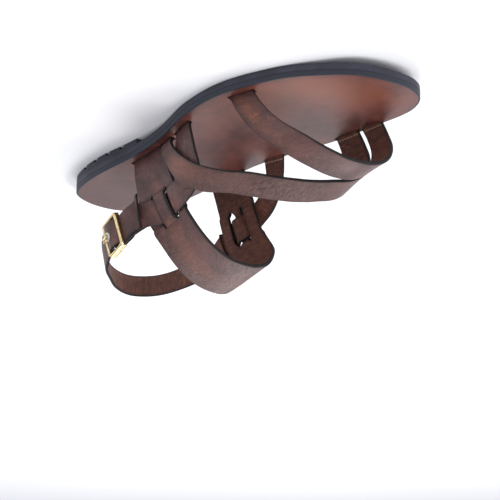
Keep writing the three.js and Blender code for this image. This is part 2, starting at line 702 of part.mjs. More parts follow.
// Insole with the slots for the strap ends
let insoleSolid = toSolid(slab(0, insoleBottom, footbedTop, heelX + insoleMargin, toeX - insoleMargin, 40));
for (const cutter of slotCutters) insoleSolid = insoleSolid.subtract(toSolid(cutter));

// Buckle frame: four bars with round corners, the two side ones deepened to plates, and a centre bar
function barBetween(a, b, radius) {
  const path = new THREE.LineCurve3(a, b);
  const shape = new THREE.Shape();
  shape.absarc(0, 0, radius, 0, Math.PI * 2);
  return new THREE.ExtrudeGeometry(shape, { steps: 1, curveSegments: 5, bevelEnabled: false, extrudePath: path });
}
function ballAt(point, radius) {
  const ball = new THREE.SphereGeometry(radius, 10, 6);
  ball.translate(point.x, point.y, point.z);
  return ball;
}
const eyeletBore = prongRadius + clearance;
const eyeletBarrel = eyeletBore + eyeletWall;
const strapOuterAtBuckle = overFold + heelStrapThickness;

// The sling's hole for the eyelet, and the slot in the fold for the prong's loop
const holeCutter = new THREE.CylinderGeometry(eyeletBarrel + clearance, eyeletBarrel + clearance, 12, 16);
holeCutter.rotateX(Math.PI / 2);
const slingSolid = toSolid(slingRibbon).subtract(toSolid(onBuckle(holeCutter, prongAt, strapOuterAtBuckle)));
const slotSize = 2 * (prongRadius + clearance);
const foldSlot = new THREE.BoxGeometry(2 * (prongLoop + prongRadius) + 1.6, slotSize, 9);
const nearSolid = toSolid(nearRibbon).subtract(toSolid(onBuckle(foldSlot, 0.1, -centreDrop - 0.6)));

// Eyelet: a flange on the strap and a barrel through it
const flangeLow = strapOuterAtBuckle + 1.6 * clearance;
const flangeHigh = flangeLow + eyeletThickness;
const barrelLow = overFold + clearance;
const eyeletProfile = [
  new THREE.Vector2(eyeletBore, barrelLow),
  new THREE.Vector2(eyeletBarrel, barrelLow),
  new THREE.Vector2(eyeletBarrel, flangeLow),
  new THREE.Vector2(eyeletOuter, flangeLow),
  new THREE.Vector2(eyeletOuter - 0.4, flangeHigh),
  new THREE.Vector2(eyeletBore + 0.2, flangeHigh),
  new THREE.Vector2(eyeletBore, flangeHigh - 0.2),
  new THREE.Vector2(eyeletBore, barrelLow),
];
const eyelet = new THREE.LatheGeometry(eyeletProfile, 20);
eyelet.rotateX(Math.PI / 2);
onBuckle(eyelet, prongAt, 0);

// Prong: a loop round the centre bar, up through the eyelet, and its tip laid on the rear bar
const prongTop = flangeHigh + clearance + prongRadius;
const prongRest = buckleBar + clearance + prongRadius;
const prongPoints = [];
for (let k = 0; k <= 8; k++) {
  const angle = THREE.MathUtils.degToRad(120 + 30 * k);
  prongPoints.push(buckleSpot(prongLoop * Math.cos(angle), -centreDrop + prongLoop * Math.sin(angle)));
}
prongPoints.push(buckleSpot(prongAt, 0.5), buckleSpot(prongAt, prongTop - 1.6));
prongPoints.push(buckleSpot(prongAt + 0.9, prongTop - 0.2), buckleSpot(prongAt + 2.2, prongTop));
prongPoints.push(buckleSpot(prongAt + eyeletOuter + 0.3, prongTop - 0.1));
prongPoints.push(buckleSpot(halfBuckle, prongRest + 0.1), buckleSpot(halfBuckle + 1.6, prongRest));
const prong = rodAlong(prongPoints, prongRadius, 30, 4);

const halfHeight = buckleInside / 2 + buckleBar;
const corners = [
  [-halfBuckle, -halfHeight],
  [halfBuckle, -halfHeight],
  [halfBuckle, halfHeight],
  [-halfBuckle, halfHeight],
].map(([a, h]) => buckleSpot(a, 0, h));
let frameSolid = null;
corners.forEach((corner, i) => {
  const next = corners[(i + 1) % 4];
  const bar = toSolid(barBetween(corner, next, buckleBar));
  frameSolid = frameSolid ? frameSolid.add(bar) : bar;
  frameSolid = frameSolid.add(toSolid(ballAt(corner, buckleBar * 1.03)));
});
const centreEnds = [-halfHeight, halfHeight].map((h) => buckleSpot(0, -centreDrop, h));
frameSolid = frameSolid.add(toSolid(barBetween(centreEnds[0], centreEnds[1], centreBar)));
for (const h of [-halfHeight, halfHeight]) {
  const plate = new THREE.BoxGeometry(buckleLength, sideWidth, sideDepth);
  plate.translate(0, h, 0);
  frameSolid = frameSolid.add(toSolid(onBuckle(plate, 0, buckleBar - 0.2 - sideDepth / 2)));
}

addPiece("outsole", toGeometry(outsoleSolid), soleRubber);
addPiece("heel_block", toGeometry(heelSolid), soleRubber);
addPiece("insole", toGeometry(insoleSolid), footbedLeather);
addPiece("toe_strap", toeStrap, leather);
addPiece("instep_strap", instepStrap, leather);
addPiece("instep_band", band, leather);
addPiece("near_heel_strap", toGeometry(nearSolid), leather);
addPiece("sling_strap", toGeometry(slingSolid), leather);
addPiece("buckle_frame", toGeometry(frameSolid), brass);
addPiece("buckle_prong", prong, brass);
addPiece("eyelet", eyelet, nickel);

// The origin lies on the floor, in the middle of the sandal's box.
const extent = new THREE.Box3().setFromObject(sandal);
const middle = extent.getCenter(new THREE.Vector3());
sandal.children.forEach((piece) => piece.position.set(-middle.x, -middle.y, -extent.min.z));

export default sandal;
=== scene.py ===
# %% [markdown]
# # A strapped leather sandal
#
# This lesson dresses a leather sandal for the left foot. A maker cuts flat straps from thick leather, dyes
# and waxes them, paints their cut edges, pulls them over a wooden foot form and lets their ends into slots
# in a leather footbed, which is glued on a rubber sole. We follow that order: the sole first, then the form,
# the straps pulled over it, the buckle, and at the end the light and the camera.
#
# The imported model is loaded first. Its solids stay as the fixed frame, and every piece made here stands in
# for one of them.

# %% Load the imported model
import math

import bmesh
import bpy
import numpy as np
from mathutils import Matrix, Vector


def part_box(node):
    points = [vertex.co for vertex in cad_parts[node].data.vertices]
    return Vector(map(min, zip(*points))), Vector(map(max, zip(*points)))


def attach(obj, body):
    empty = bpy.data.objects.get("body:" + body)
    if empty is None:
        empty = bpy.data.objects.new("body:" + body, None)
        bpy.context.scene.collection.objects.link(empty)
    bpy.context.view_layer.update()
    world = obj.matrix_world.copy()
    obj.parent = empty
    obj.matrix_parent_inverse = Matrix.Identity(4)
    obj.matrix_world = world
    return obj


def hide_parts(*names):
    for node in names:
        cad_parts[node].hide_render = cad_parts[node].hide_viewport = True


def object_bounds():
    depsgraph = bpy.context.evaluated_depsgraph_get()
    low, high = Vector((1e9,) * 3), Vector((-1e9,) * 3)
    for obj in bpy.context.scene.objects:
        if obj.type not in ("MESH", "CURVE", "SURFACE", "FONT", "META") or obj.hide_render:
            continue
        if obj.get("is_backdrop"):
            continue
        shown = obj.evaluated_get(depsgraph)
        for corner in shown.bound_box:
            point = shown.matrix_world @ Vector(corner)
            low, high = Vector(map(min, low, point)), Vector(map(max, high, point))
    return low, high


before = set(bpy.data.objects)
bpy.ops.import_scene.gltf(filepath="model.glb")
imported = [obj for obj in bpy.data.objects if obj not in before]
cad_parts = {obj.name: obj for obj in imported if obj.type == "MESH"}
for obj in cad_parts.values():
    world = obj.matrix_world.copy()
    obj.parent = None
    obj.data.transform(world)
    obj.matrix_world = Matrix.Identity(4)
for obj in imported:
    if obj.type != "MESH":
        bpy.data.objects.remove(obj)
cad_low, cad_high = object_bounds()
sides = [round(1000 * (h - l), 1) for l, h in zip(cad_low, cad_high)]
print("solids:", len(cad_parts), "box in mm:", sides)

# %% [markdown]
# ## The sizes
#
# A sandal is a small set of sizes and a few curves. The sizes are in millimetres. The curves are short
# tables: a place along the sole is a share of its length, and a place across it is a share of the width at
# the ball. A turn goes over the foot in degrees, from 0 at the outer base to 180 at the inner base, and a
# lift off the foot form is a share of one woven layer. The sizes and tables are those of the solids, so that
# each fine piece lies where its solid is. Only the slits end a little sooner, as their rows are finer here.

# %% Sizes of the sole, the form and the straps
sole_length, ball_width = 284.0, 99.0
outsole_thickness, insole_thickness, clearance = 4.6, 3.3, 0.3
insole_margin, hair_gap = 0.7, 0.06
heel_rise, toe_spring = 5.3, 7.2
heel_breast = 0.315
groove_width, groove_depth, groove_count, groove_from, groove_to = 4.0, 2.4, 4, 0.098, 0.252
tread_width, tread_depth, tread_count, tread_from, tread_to, tread_slant = 2.4, 1.1, 7, 0.6, 0.84, 0.12
instep_height, lateral_inset, medial_inset = 90.0, 9.5, 2.9
strap_thickness, heel_strap_thickness, fold_thickness = 2.6, 2.1, 1.7
weave_lift = strap_thickness + 2 * clearance
slit_width, slit_end_width, slit_ramp = 4.4, 1.0, 0.13
tip_length, tip_stand, tip_droop, tip_slant = 19.0, 1.3, 3.0, 8.0
buckle_length, heel_strap_width = 20.6, 18.5
buckle_inside = heel_strap_width + 1.8
buckle_bar, centre_bar, centre_drop, prong_radius = 1.25, 1.1, 2.6, 0.75
side_depth, side_width = 4.8, 2.1
eyelet_outer, eyelet_wall, eyelet_thickness = 3.3, 0.5, 0.7
middle_lift, side_lift = 0.53, -0.41
print("sole", sole_length, "mm long and", ball_width, "mm wide at the ball")

# %% Tables of the sole and the form
outline_rows = {
    "along": [0, 0.02, 0.09, 0.18, 0.29, 0.41, 0.53, 0.65, 0.76, 0.865, 0.955,
              1, 0.995, 0.935, 0.835, 0.71, 0.585, 0.46, 0.34, 0.215, 0.11, 0.025],
    "across": [0, 0.205, 0.308, 0.358, 0.37, 0.415, 0.522, 0.556, 0.49, 0.365, 0.2,
               -0.035, -0.21, -0.37, -0.44, -0.455, -0.407, -0.366, -0.37, -0.385, -0.357, -0.215],
}
profile_rows = {
    "along": [0, 0.16, 0.32, 0.48, 0.6, 0.78, 0.9, 1],
    "lift": [0.68, 1, 0.72, 0.12, 0, 0, 0.36, 1],
}
form_rows = {
    "along": [0.23, 0.375, 0.515, 0.655, 0.795, 0.92],
    "height": [1, 0.98, 0.895, 0.705, 0.53, 0.43],
    "ridge": [0.13, 0.105, 0.17, 0.32, 0.49, 0.62],
    "lateral": [0.05, 0.062, 0.078, 0.076, 0.066, 0.06],
    "medial": [0.14, 0.128, 0.13, 0.11, 0.066, 0.045],
}

# %% Tables of the straps
toe_rows = {
    "turn": [0, 25, 50, 75, 100, 125, 150, 168, 180],
    "front": [0.714, 0.766, 0.822, 0.855, 0.872, 0.878, 0.87, 0.852, 0.84],
    "rear": [0.654, 0.705, 0.755, 0.785, 0.799, 0.806, 0.804, 0.792, 0.779],
}
instep_rows = {
    "turn": [0, 5, 12, 25, 38, 50, 75, 100, 125, 150, 168, 180],
    "front": [0.426, 0.446, 0.478, 0.543, 0.612, 0.672, 0.747, 0.79, 0.802, 0.796, 0.78, 0.768],
    "rear": [0.388, 0.4, 0.425, 0.472, 0.535, 0.6, 0.68, 0.724, 0.732, 0.724, 0.712, 0.704],
    "lift": [0, 0.95, 1.1, 1.1, 0.9, 0.2, 0, 0, 0, 0, 0, 0],
}
band_rows = {
    "turn": [0, 25, 50, 75, 100, 125, 150, 180],
    "front": [0.381, 0.444, 0.476, 0.488, 0.51, 0.505, 0.458, 0.43],
    "rear": [0.271, 0.303, 0.345, 0.36, 0.377, 0.374, 0.338, 0.317],
}
slit_rows = {"start": [22.0, 144.0], "stop": [39.8, 164.0], "front": [0.25, 0.36], "rear": [0.66, 0.66]}
near_weave_rows = {
    "top": [0.51, 0.536, 0.548, 0.532, 0.495, 0.455, 0.436, 0.419, 0.38, 0.362, 0.33],
    "top_turn": [0, 14, 26, 34, 37.5, 38, 38, 38, 38, 37, 35],
    "bottom": [0.446, 0.452, 0.457, 0.454, 0.444, 0.43, 0.417, 0.4, 0.358, 0.34, 0.31],
    "bottom_turn": [0, 12, 20, 23.5, 24, 24, 24, 24, 24, 23.4, 21.8],
    "lift": [0, 0, 0, 0.05, 0.45, 0.56, 0.54, -0.32, -0.34, 0.55, 0.9],
}
far_weave_rows = {
    "top": [0.556, 0.543, 0.518, 0.49, 0.455, 0.431, 0.413, 0.391, 0.373, 0.335],
    "top_turn": [180, 170, 160, 154, 150, 147.5, 146.5, 146, 145.5, 144],
    "bottom": [0.5, 0.496, 0.474, 0.45, 0.424, 0.413, 0.395, 0.374, 0.356, 0.315],
    "bottom_turn": [180, 173, 167, 163.5, 161.5, 160.5, 160, 159.5, 158.5, 156],
    "lift": [0, 0, 0.2, 0.5, 0.56, 0.56, -0.34, -0.36, 0.62, 0.9],
}
sling_rows = {
    "along": [0.145, 0.112, 0.082, 0.072, 0.108, 0.175, 0.25],
    "across": [0.2, 0.085, -0.06, -0.24, -0.4, -0.49, -0.515],
    "up": [0.785, 0.81, 0.83, 0.83, 0.81, 0.765, 0.71],
    "lean": [0.2, 0.28, 0.32, 0.34, 0.3, 0.14, 0],
}
buckle_place = {"along": 0.222, "across": 0.34, "up": 0.715, "lean": 0.26}
buckle_heading = (-0.93, -0.34, 0.14)
print("straps: toe, instep, band, near heel strap and sling")

# %% [markdown]
# ## Two kinds of curve
#
# Heights and widths must not overshoot their rows, or a flat sole would grow a bump, so they run through a
# cubic whose slope is the harmonic mean of its neighbours'. Paths in space, such as the sole's outline, use
# a centripetal Catmull-Rom curve, which stays round where its points lie close together.

# %% Smooth curves through rows
def hermite(t, span, start, stop, slope_in, slope_out):
    return (
        (2 * t**3 - 3 * t**2 + 1) * start
        + (t**3 - 2 * t**2 + t) * span * slope_in
        + (3 * t**2 - 2 * t**3) * stop
        + (t**3 - t**2) * span * slope_out
    )


def smooth_through(xs, ys):
    xs, ys = np.asarray(xs, float), np.asarray(ys, float)
    rise = np.diff(ys) / np.diff(xs)
    slopes = np.concatenate([rise[:1], np.zeros(len(xs) - 2), rise[-1:]])
    before, after = rise[:-1], rise[1:]
    same_way = before * after > 0
    slopes[1:-1][same_way] = (2 * before * after)[same_way] / (before + after)[same_way]

    def at(x):
        x = np.asarray(x, float)
        k = np.clip(np.searchsorted(xs, x, side="left") - 1, 0, len(xs) - 2)
        span = xs[k + 1] - xs[k]
        t = np.clip((x - xs[k]) / span, 0, 1)
        return hermite(t, span, ys[k], ys[k + 1], slopes[k], slopes[k + 1])

    return at


def column(rows, name):
    return smooth_through(range(len(rows[name])), rows[name])


def path_through(points, places, closed=False):
    points = np.asarray(points, float)
    n = len(points)
    found = []
    for place in places:
        p = (n if closed else n - 1) * place
        k = min(int(p), n if closed else n - 2)
        t = p - k
        if closed:
            a, b, c, d = (points[(k + i - 1) % n] for i in range(4))
        else:
            b, c = points[k], points[k + 1]
            a = points[k - 1] if k else 2 * b - c
            d = points[k + 2] if k + 2 < n else 2 * c - b
        ab, bc, cd = (max(1e-4, np.linalg.norm(v - u)) ** 0.5 for u, v in ((a, b), (b, c), (c, d)))
        slope_b = ((b - a) / ab - (c - a) / (ab + bc) + (c - b) / bc) * bc
        slope_c = ((c - b) / bc - (d - b) / (bc + cd) + (d - c) / cd) * bc
        bend = 3 * (c - b) - 2 * slope_b - slope_c
        twist = 2 * (b - c) + slope_b + slope_c
        found.append(b + slope_b * t + bend * t**2 + twist * t**3)
    return np.array(found)


def even_places(count):
    return np.arange(count) / count


def unit(v):
    v = np.asarray(v, float)
    return v / np.maximum(np.linalg.norm(v, axis=-1, keepdims=True), 1e-9)


# %% [markdown]
# ## The sole's outline and profile
#
# The outline is one closed curve round the sole. The footbed rises to the heel seat, lies flat under the
# ball and curls up at the toe. The frame's origin is under the middle of the whole sandal's box. The sling
# stands out past the sole on the inner side, so the box's middle isn't the outline's: we measure how far
# the outsole lies from where its own curve puts it, and move every piece by that much.

# %% Outline, profile and the move to the frame's origin
def along_to_x(share):
    return (np.asarray(share) - 0.5) * sole_length


outline = path_through(
    np.column_stack([along_to_x(outline_rows["along"]), np.array(outline_rows["across"]) * ball_width]),
    even_places(1100),
    closed=True,
)
heel_end, toe_end = outline[:, 0].argmin(), outline[:, 0].argmax()
outer_chain = outline[heel_end : toe_end + 1]
inner_chain = np.roll(outline, -toe_end, axis=0)[: (heel_end - toe_end) % len(outline) + 1][::-1]


def edge_at(x, side):
    chain = outer_chain if side > 0 else inner_chain
    return np.interp(x, chain[:, 0], chain[:, 1])


past_ball = np.array(profile_rows["along"]) > 0.7
profile = smooth_through(
    along_to_x(profile_rows["along"]),
    np.array(profile_rows["lift"]) * np.where(past_ball, toe_spring, heel_rise),
)
forefoot_top = outsole_thickness + clearance + insole_thickness


def footbed_top(x):
    return forefoot_top + profile(x)


def insole_bottom(x):
    return footbed_top(x) - insole_thickness


def outsole_top(x):
    return insole_bottom(x) - clearance


def outsole_bottom(x):
    return outsole_top(x) - outsole_thickness


side_move = 1000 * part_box("outsole")[1].y - (outline[:, 1].max() + insole_margin)
to_frame = np.array([0, side_move, 0])
print("pieces move by", round(side_move, 2), "mm across")

# %% [markdown]
# ## From points to a mesh
#
# Every leather piece below is a grid of points for its flesh side and a second grid for its grain side.
# One helper joins the two into a closed skin, with walls wherever a neighbouring cell is missing: that is
# how the band gets its slits. Another joins rings of points into a tube, for the sole and the buckle. Named
# numbers at the points, such as the distance to the cut edge, go along as attributes, because the finish
# needs them: edge paint, burnish and grain all follow the strap.

# %% Mesh helpers
pieces = {}


def new_mesh(name, points, faces):
    mesh = bpy.data.meshes.new(name)
    mesh.from_pydata(((points + to_frame) * 0.001).tolist(), [], faces)
    return mesh


def new_object(name, data):
    made = bpy.data.objects.new(name, data)
    bpy.context.scene.collection.objects.link(made)
    return made


def make_piece(name, points, faces, finish, node, facts=None, sharp=50):
    mesh = new_mesh(name, points, faces)
    for key, values in (facts or {}).items():
        mesh.attributes.new(key, "FLOAT", "POINT").data.foreach_set("value", np.asarray(values, np.float32))
    mesh.materials.append(finish)
    mesh.shade_smooth()
    mesh.set_sharp_from_angle(angle=math.radians(sharp))
    piece = new_object(name, mesh)
    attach(piece, "root")
    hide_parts(node)
    pieces[name] = piece
    return piece


def tube_faces(ring_count, ring_size, closed=False):
    at = np.arange(ring_count * ring_size).reshape(ring_count, ring_size)
    if closed:
        at = np.concatenate([at, at[:1]])
    after = np.roll(at, -1, axis=1)
    return np.stack([at[:-1], at[1:], after[1:], after[:-1]], axis=-1).reshape(-1, 4)


def shell_faces(present):
    rows, columns = present.shape[0] + 1, present.shape[1] + 1
    at = np.arange(2 * rows * columns).reshape(2, rows, columns)
    low, high = at
    cells = []

    def add(mask, a, b, c, d):
        cells.append(np.stack([a[mask], b[mask], c[mask], d[mask]], axis=-1))

    corners = lambda grid: (grid[:-1, :-1], grid[1:, :-1], grid[1:, 1:], grid[:-1, 1:])
    l00, l10, l11, l01 = corners(low)
    h00, h10, h11, h01 = corners(high)
    around = np.pad(present, 1)
    add(present, h00, h10, h11, h01)
    add(present, l00, l01, l11, l10)
    add(present & ~around[:-2, 1:-1], l00, h00, h01, l01)
    add(present & ~around[2:, 1:-1], l11, h11, h10, l10)
    add(present & ~around[1:-1, :-2], l10, h10, h00, l00)
    add(present & ~around[1:-1, 2:], l01, h01, h11, l11)
    return np.concatenate(cells)


def facing_out(points, faces):
    a, b, c, d = (points[faces[:, k]] for k in range(4))
    volume = np.einsum("ij,ij->", a, np.cross(b, c)) + np.einsum("ij,ij->", a, np.cross(c, d))
    return faces if volume > 0 else faces[:, ::-1]


def used_only(points, faces, facts):
    used = np.unique(faces)
    number = np.zeros(len(points), int)
    number[used] = np.arange(len(used))
    return points[used], number[faces], {key: values[used] for key, values in facts.items()}


# %% [markdown]
# ## Finishes as expressions
#
# A finish is a graph of nodes, and a graph is tedious to write node by node. The class below wraps a socket,
# so that plain arithmetic adds Math nodes: `1 - mask` and `0.3 + 0.2 * grain` read as they would on paper.
# One method makes any other node. Only what changes over the surface is wired, and it reaches the base
# colour, the roughness, the coat's weight or the bump. What is even all over is set on the shader itself.

# %% A socket that can be calculated with
class Wire:
    def __init__(self, tree, socket=None):
        self.tree = tree
        self.socket = socket

    def node(self, kind, settings=None, sockets=None, output=0):
        made = self.tree.nodes.new(kind)
        for key, value in (settings or {}).items():
            setattr(made, key, value)
        for key, value in (sockets or {}).items():
            if isinstance(value, Wire):
                self.tree.links.new(value.socket, made.inputs[key])
            else:
                made.inputs[key].default_value = value
        return Wire(self.tree, made.outputs[output])

    def math(self, operation, *values):
        return self.node("ShaderNodeMath", {"operation": operation}, dict(enumerate(values)))

    def __add__(self, other):
        return self.math("ADD", self, other)

    def __sub__(self, other):
        return self.math("SUBTRACT", self, other)

    def __rsub__(self, other):
        return self.math("SUBTRACT", other, self)

    def __mul__(self, other):
        return self.math("MULTIPLY", self, other)

    def __pow__(self, other):
        return self.math("POWER", self, other)

    __radd__ = __add__
    __rmul__ = __mul__


def fact(wire, name):
    return wire.node("ShaderNodeAttribute", {"attribute_name": name}, output="Fac")


def ease(value, low, high):
    return value.node("ShaderNodeMapRange", {"interpolation_type": "SMOOTHSTEP"},
                      {"Value": value, "From Min": low, "From Max": high})


def mixed(share, first, second):
    return share.node("ShaderNodeMix", {"data_type": "RGBA"}, {0: share, 6: first, 7: second}, output=2)


def noise(where, scale, detail=2.0, roughness=0.5, distortion=0.0):
    return where.node("ShaderNodeTexNoise", {},
                      {"Vector": where, "Scale": scale, "Detail": detail, "Roughness": roughness,
                       "Distortion": distortion})


def stretched(where, x, y, z):
    return where.node("ShaderNodeVectorMath", {"operation": "MULTIPLY"}, {0: where, 1: (x, y, z)})


def spot(where, middle, size):
    away = where.node("ShaderNodeVectorMath", {"operation": "SUBTRACT"}, {0: where, 1: middle})
    away = where.node("ShaderNodeVectorMath", {"operation": "DIVIDE"}, {0: away, 1: size})
    length = where.node("ShaderNodeVectorMath", {"operation": "LENGTH"}, {0: away}, output="Value")
    return 1 - ease(length, 0.0, 1.0)


def new_finish(name):
    material = bpy.data.materials.new(name)
    material.use_nodes = True
    shader = material.node_tree.nodes["Principled BSDF"]
    return material, shader, Wire(material.node_tree)


def wire_up(shader, wire, colour, roughness, coat=None, height=None, even=None):
    for key, value in (("Base Color", colour), ("Roughness", roughness), ("Coat Weight", coat)):
        if value is not None:
            wire.tree.links.new(value.socket, shader.inputs[key])
    if height is not None:
        bump = wire.node("ShaderNodeBump", {}, {"Strength": 1.0, "Distance": 0.001, "Height": height})
        wire.tree.links.new(bump.socket, shader.inputs["Normal"])
    for key, value in (even or {}).items():
        shader.inputs[key].default_value = value


# %% [markdown]
# ## Strap leather
#
# The straps are vegetable-tanned leather, dyed dark brown and waxed. The grain side is smooth, with fine
# pores, soft mottling and orange-brown patches where wear and bending rub the dye thin. The cut edges are
# painted almost black. The flesh side is a lighter, duller brown with cross wrinkles, and a row of stitches
# crosses it just above the footbed. One finish does it all, led by the strap's own attributes: `along` and
# `across` are millimetres on the strap, `layer` keeps the patterns of two straps or of two sides apart,
# `edge` is the distance to the cut edge, `base` is the height above the footbed, `flesh` is 1 on the flesh
# side, `glow` is where the dye is thin, and `wrinkle` is where the strap has been bent.

# %% Strap leather
DARK = (0.056, 0.0185, 0.016, 1)
MIDDLE = (0.132, 0.045, 0.036, 1)
GLOW = (0.25, 0.075, 0.036, 1)
WORN = (0.3, 0.15, 0.115, 1)
EDGE = (0.007, 0.0045, 0.0045, 1)
FLESH = (0.29, 0.118, 0.07, 1)
FLESH_DARK = (0.15, 0.055, 0.038, 1)
THREAD = (0.5, 0.33, 0.2, 1)
seam_height, stitches_per_mm = 2.6, 0.4


def strap_leather():
    material, shader, wire = new_finish("strap_leather")
    edge, base, flesh, glow, wrinkle = (
        fact(wire, key) for key in ("edge", "base", "flesh", "glow", "wrinkle")
    )
    where = wire.node("ShaderNodeCombineXYZ", {},
                      {0: fact(wire, "along"), 1: fact(wire, "across"), 2: fact(wire, "layer")})
    mottle = noise(where, 0.055, 4, 0.55)
    cloud = noise(where, 0.21, 3, 0.6)
    fibre = noise(stretched(where, 1.1, 0.11, 1), 1.0, 4, 0.65, 0.6)
    grain = noise(where, 1.5, 3, 0.65)
    pores = where.node("ShaderNodeTexVoronoi", {"feature": "DISTANCE_TO_EDGE"}, {"Vector": where, "Scale": 1.1})
    folds = noise(stretched(where, 0.62, 0.17, 1), 1.0, 4, 0.62, 0.9)
    fold_line = ease(folds.math("ABSOLUTE", folds - 0.5), 0.0, 0.085)
    ridges = ease(noise(stretched(where, 1.35, 0.3, 1), 1.0, 3, 0.55, 1.2), 0.4, 0.62)
    veins = noise(stretched(where, 0.5, 0.3, 1), 1.0, 5, 0.7, 0.6)
    vein_line = ease(veins.math("ABSOLUTE", veins - 0.5), 0.0, 0.07)

    colour = mixed(ease(mottle * 0.65 + cloud * 0.35, 0.36, 0.66), DARK, MIDDLE)
    colour = mixed(ease(glow + (cloud - 0.5) * 0.5, 0.12, 0.95), colour, GLOW)
    worn = mixed(ease(fibre * 0.6 + cloud * 0.4, 0.38, 0.68), FLESH_DARK, FLESH)
    colour = mixed(flesh, colour, worn)
    # Painted shade: the folds and veins, which the bump below sinks into grooves, are darkened as shade in them would
    # darken them.
    colour = mixed((1 - fold_line) * wrinkle * 0.45, colour, DARK)
    colour = mixed((1 - vein_line) * 0.22, colour, DARK)
    colour = mixed(ridges * wrinkle * (1 - flesh) * 0.6, colour, WORN)
    colour = mixed((1 - ease(edge, 0.5, 3.2)) * 0.45, colour, DARK)
    seam = 1 - ease(base.math("ABSOLUTE", base - seam_height), 0.3, 0.6)
    dashes = ease(base.math("FRACT", fact(wire, "across") * stitches_per_mm), 0.2, 0.32)
    stitch = seam * dashes * flesh
    colour = mixed(stitch, colour, THREAD)
    paint = 1 - ease(edge + (cloud - 0.5) * 0.3, 0.28, 0.62)
    colour = mixed(paint, colour, EDGE)

    roughness = 0.34 + 0.2 * grain + 0.2 * flesh + 0.05 * cloud + 0.24 * paint
    coat = 0.24 * (1 - flesh) * (1 - paint) * (0.6 + 0.4 * ease(mottle, 0.35, 0.6))
    height = (
        0.07 * grain
        + 0.075 * ease(pores, 0.0, 0.22)
        + (0.3 * fold_line + 0.4 * ridges) * wrinkle
        + 0.17 * vein_line
        + 0.1 * cloud
        + flesh * 0.3 * fibre
        + 0.3 * stitch
    )
    even = {"Coat Roughness": 0.34, "Specular IOR Level": 0.5}
    wire_up(shader, wire, colour, roughness, coat, height, even)
    return material


strap_finish = strap_leather()
print("strap leather:", len(strap_finish.node_tree.nodes), "nodes")

# %% [markdown]
# ## Footbed leather
#
# The footbed is the same hide, thicker and rubbed to a low shine. It is warmest and lightest in the middle
# and along the outer edge of the forefoot, darker at the heel and at its rim, and its side is painted the
# rubber's blue-black. A few soft spots of warmth and shade are listed, in metres on the sandal.

# %% Footbed leather
BED_DARK = (0.068, 0.021, 0.018, 1)
BED_BROWN = (0.175, 0.054, 0.038, 1)
BED_WARM = (0.225, 0.068, 0.032, 1)
BED_RIM = (0.07, 0.021, 0.014, 1)
SIDE_PAINT = (0.019, 0.022, 0.034, 1)


def footbed_leather():
    material, shader, wire = new_finish("footbed_leather")
    where = wire.node("ShaderNodeTexCoord", output="Object")
    rim = fact(wire, "edge")
    cloud = noise(where, 34, 4, 0.55)
    mottle = noise(where, 110, 3, 0.6)
    streak = noise(stretched(where, 90, 420, 200), 1.0, 4, 0.6)
    grain = noise(where, 1500, 3, 0.65)
    pores = where.node("ShaderNodeTexVoronoi", {"feature": "DISTANCE_TO_EDGE"}, {"Vector": where, "Scale": 1100})

    outer_side = spot(where, (0.07, 0.03, 0.01), (0.085, 0.05, 0.05))
    toes = spot(where, (0.115, -0.005, 0.01), (0.05, 0.05, 0.05))
    heel_seat = spot(where, (-0.118, 0.0, 0.01), (0.06, 0.06, 0.05))
    arch = spot(where, (0.03, -0.02, 0.01), (0.06, 0.03, 0.05))
    warm, dark = outer_side + toes, heel_seat * 0.6 + arch * 0.35
    tone = ease(cloud * 0.6 + mottle * 0.25 + streak * 0.15 + warm * 0.16 - dark * 0.22, 0.36, 0.7)
    colour = mixed(tone, BED_DARK, BED_BROWN)
    colour = mixed(ease(warm * 0.5 + cloud * 0.4, 0.42, 0.9) * 0.75, colour, BED_WARM)
    colour = mixed((1 - ease(rim, 0.4, 6.5)) * 0.4, colour, BED_RIM)
    paint = 1 - ease(rim, 0.5, 0.8)
    colour = mixed(paint, colour, SIDE_PAINT)
    roughness = 0.38 + 0.14 * grain + 0.08 * mottle + 0.12 * paint
    height = 0.04 * grain + 0.035 * ease(pores, 0.0, 0.25) + 0.1 * mottle + 0.14 * streak
    even = {"Coat Weight": 0.06, "Coat Roughness": 0.36, "Specular IOR Level": 0.36}
    wire_up(shader, wire, colour, roughness, None, height, even)
    return material


footbed_finish = footbed_leather()
print("footbed leather:", len(footbed_finish.node_tree.nodes), "nodes")

# %% [markdown]
# ## Rubber and metal
#
# The rubber is moulded, blue-black and matt, with a fine sandy skin and faint scuffs. The buckle is
# polished brass with hair scratches and a little tarnish, and the eyelet is dull nickel plate.

# %% Rubber, brass and nickel
RUBBER_DARK = (0.011, 0.0115, 0.022, 1)
RUBBER_PALE = (0.025, 0.0265, 0.048, 1)


def sole_rubber():
    material, shader, wire = new_finish("sole_rubber")
    where = wire.node("ShaderNodeTexCoord", output="Object")
    sand = noise(where, 2600, 2, 0.6)
    scuff = noise(stretched(where, 60, 60, 900), 1.0, 4, 0.65)
    cloud = noise(where, 70, 3, 0.55)
    colour = mixed(ease(cloud * 0.6 + scuff * 0.4, 0.35, 0.7), RUBBER_DARK, RUBBER_PALE)
    roughness = 0.46 + 0.16 * sand + 0.08 * scuff
    wire_up(shader, wire, colour, roughness, None, 0.025 * sand + 0.03 * scuff, {"Specular IOR Level": 0.55})
    return material


def metal(name, bright, dull, smooth):
    material, shader, wire = new_finish(name)
    where = wire.node("ShaderNodeTexCoord", output="Object")
    tarnish = noise(where, 420, 4, 0.6)
    hair = noise(stretched(where, 500, 4200, 900), 1.0, 2, 0.6)
    colour = mixed(ease(tarnish, 0.42, 0.75), bright, dull)
    roughness = smooth + 0.14 * tarnish + 0.06 * hair
    wire_up(shader, wire, colour, roughness, None, 0.006 * hair + 0.02 * tarnish, {"Metallic": 1.0})
    return material


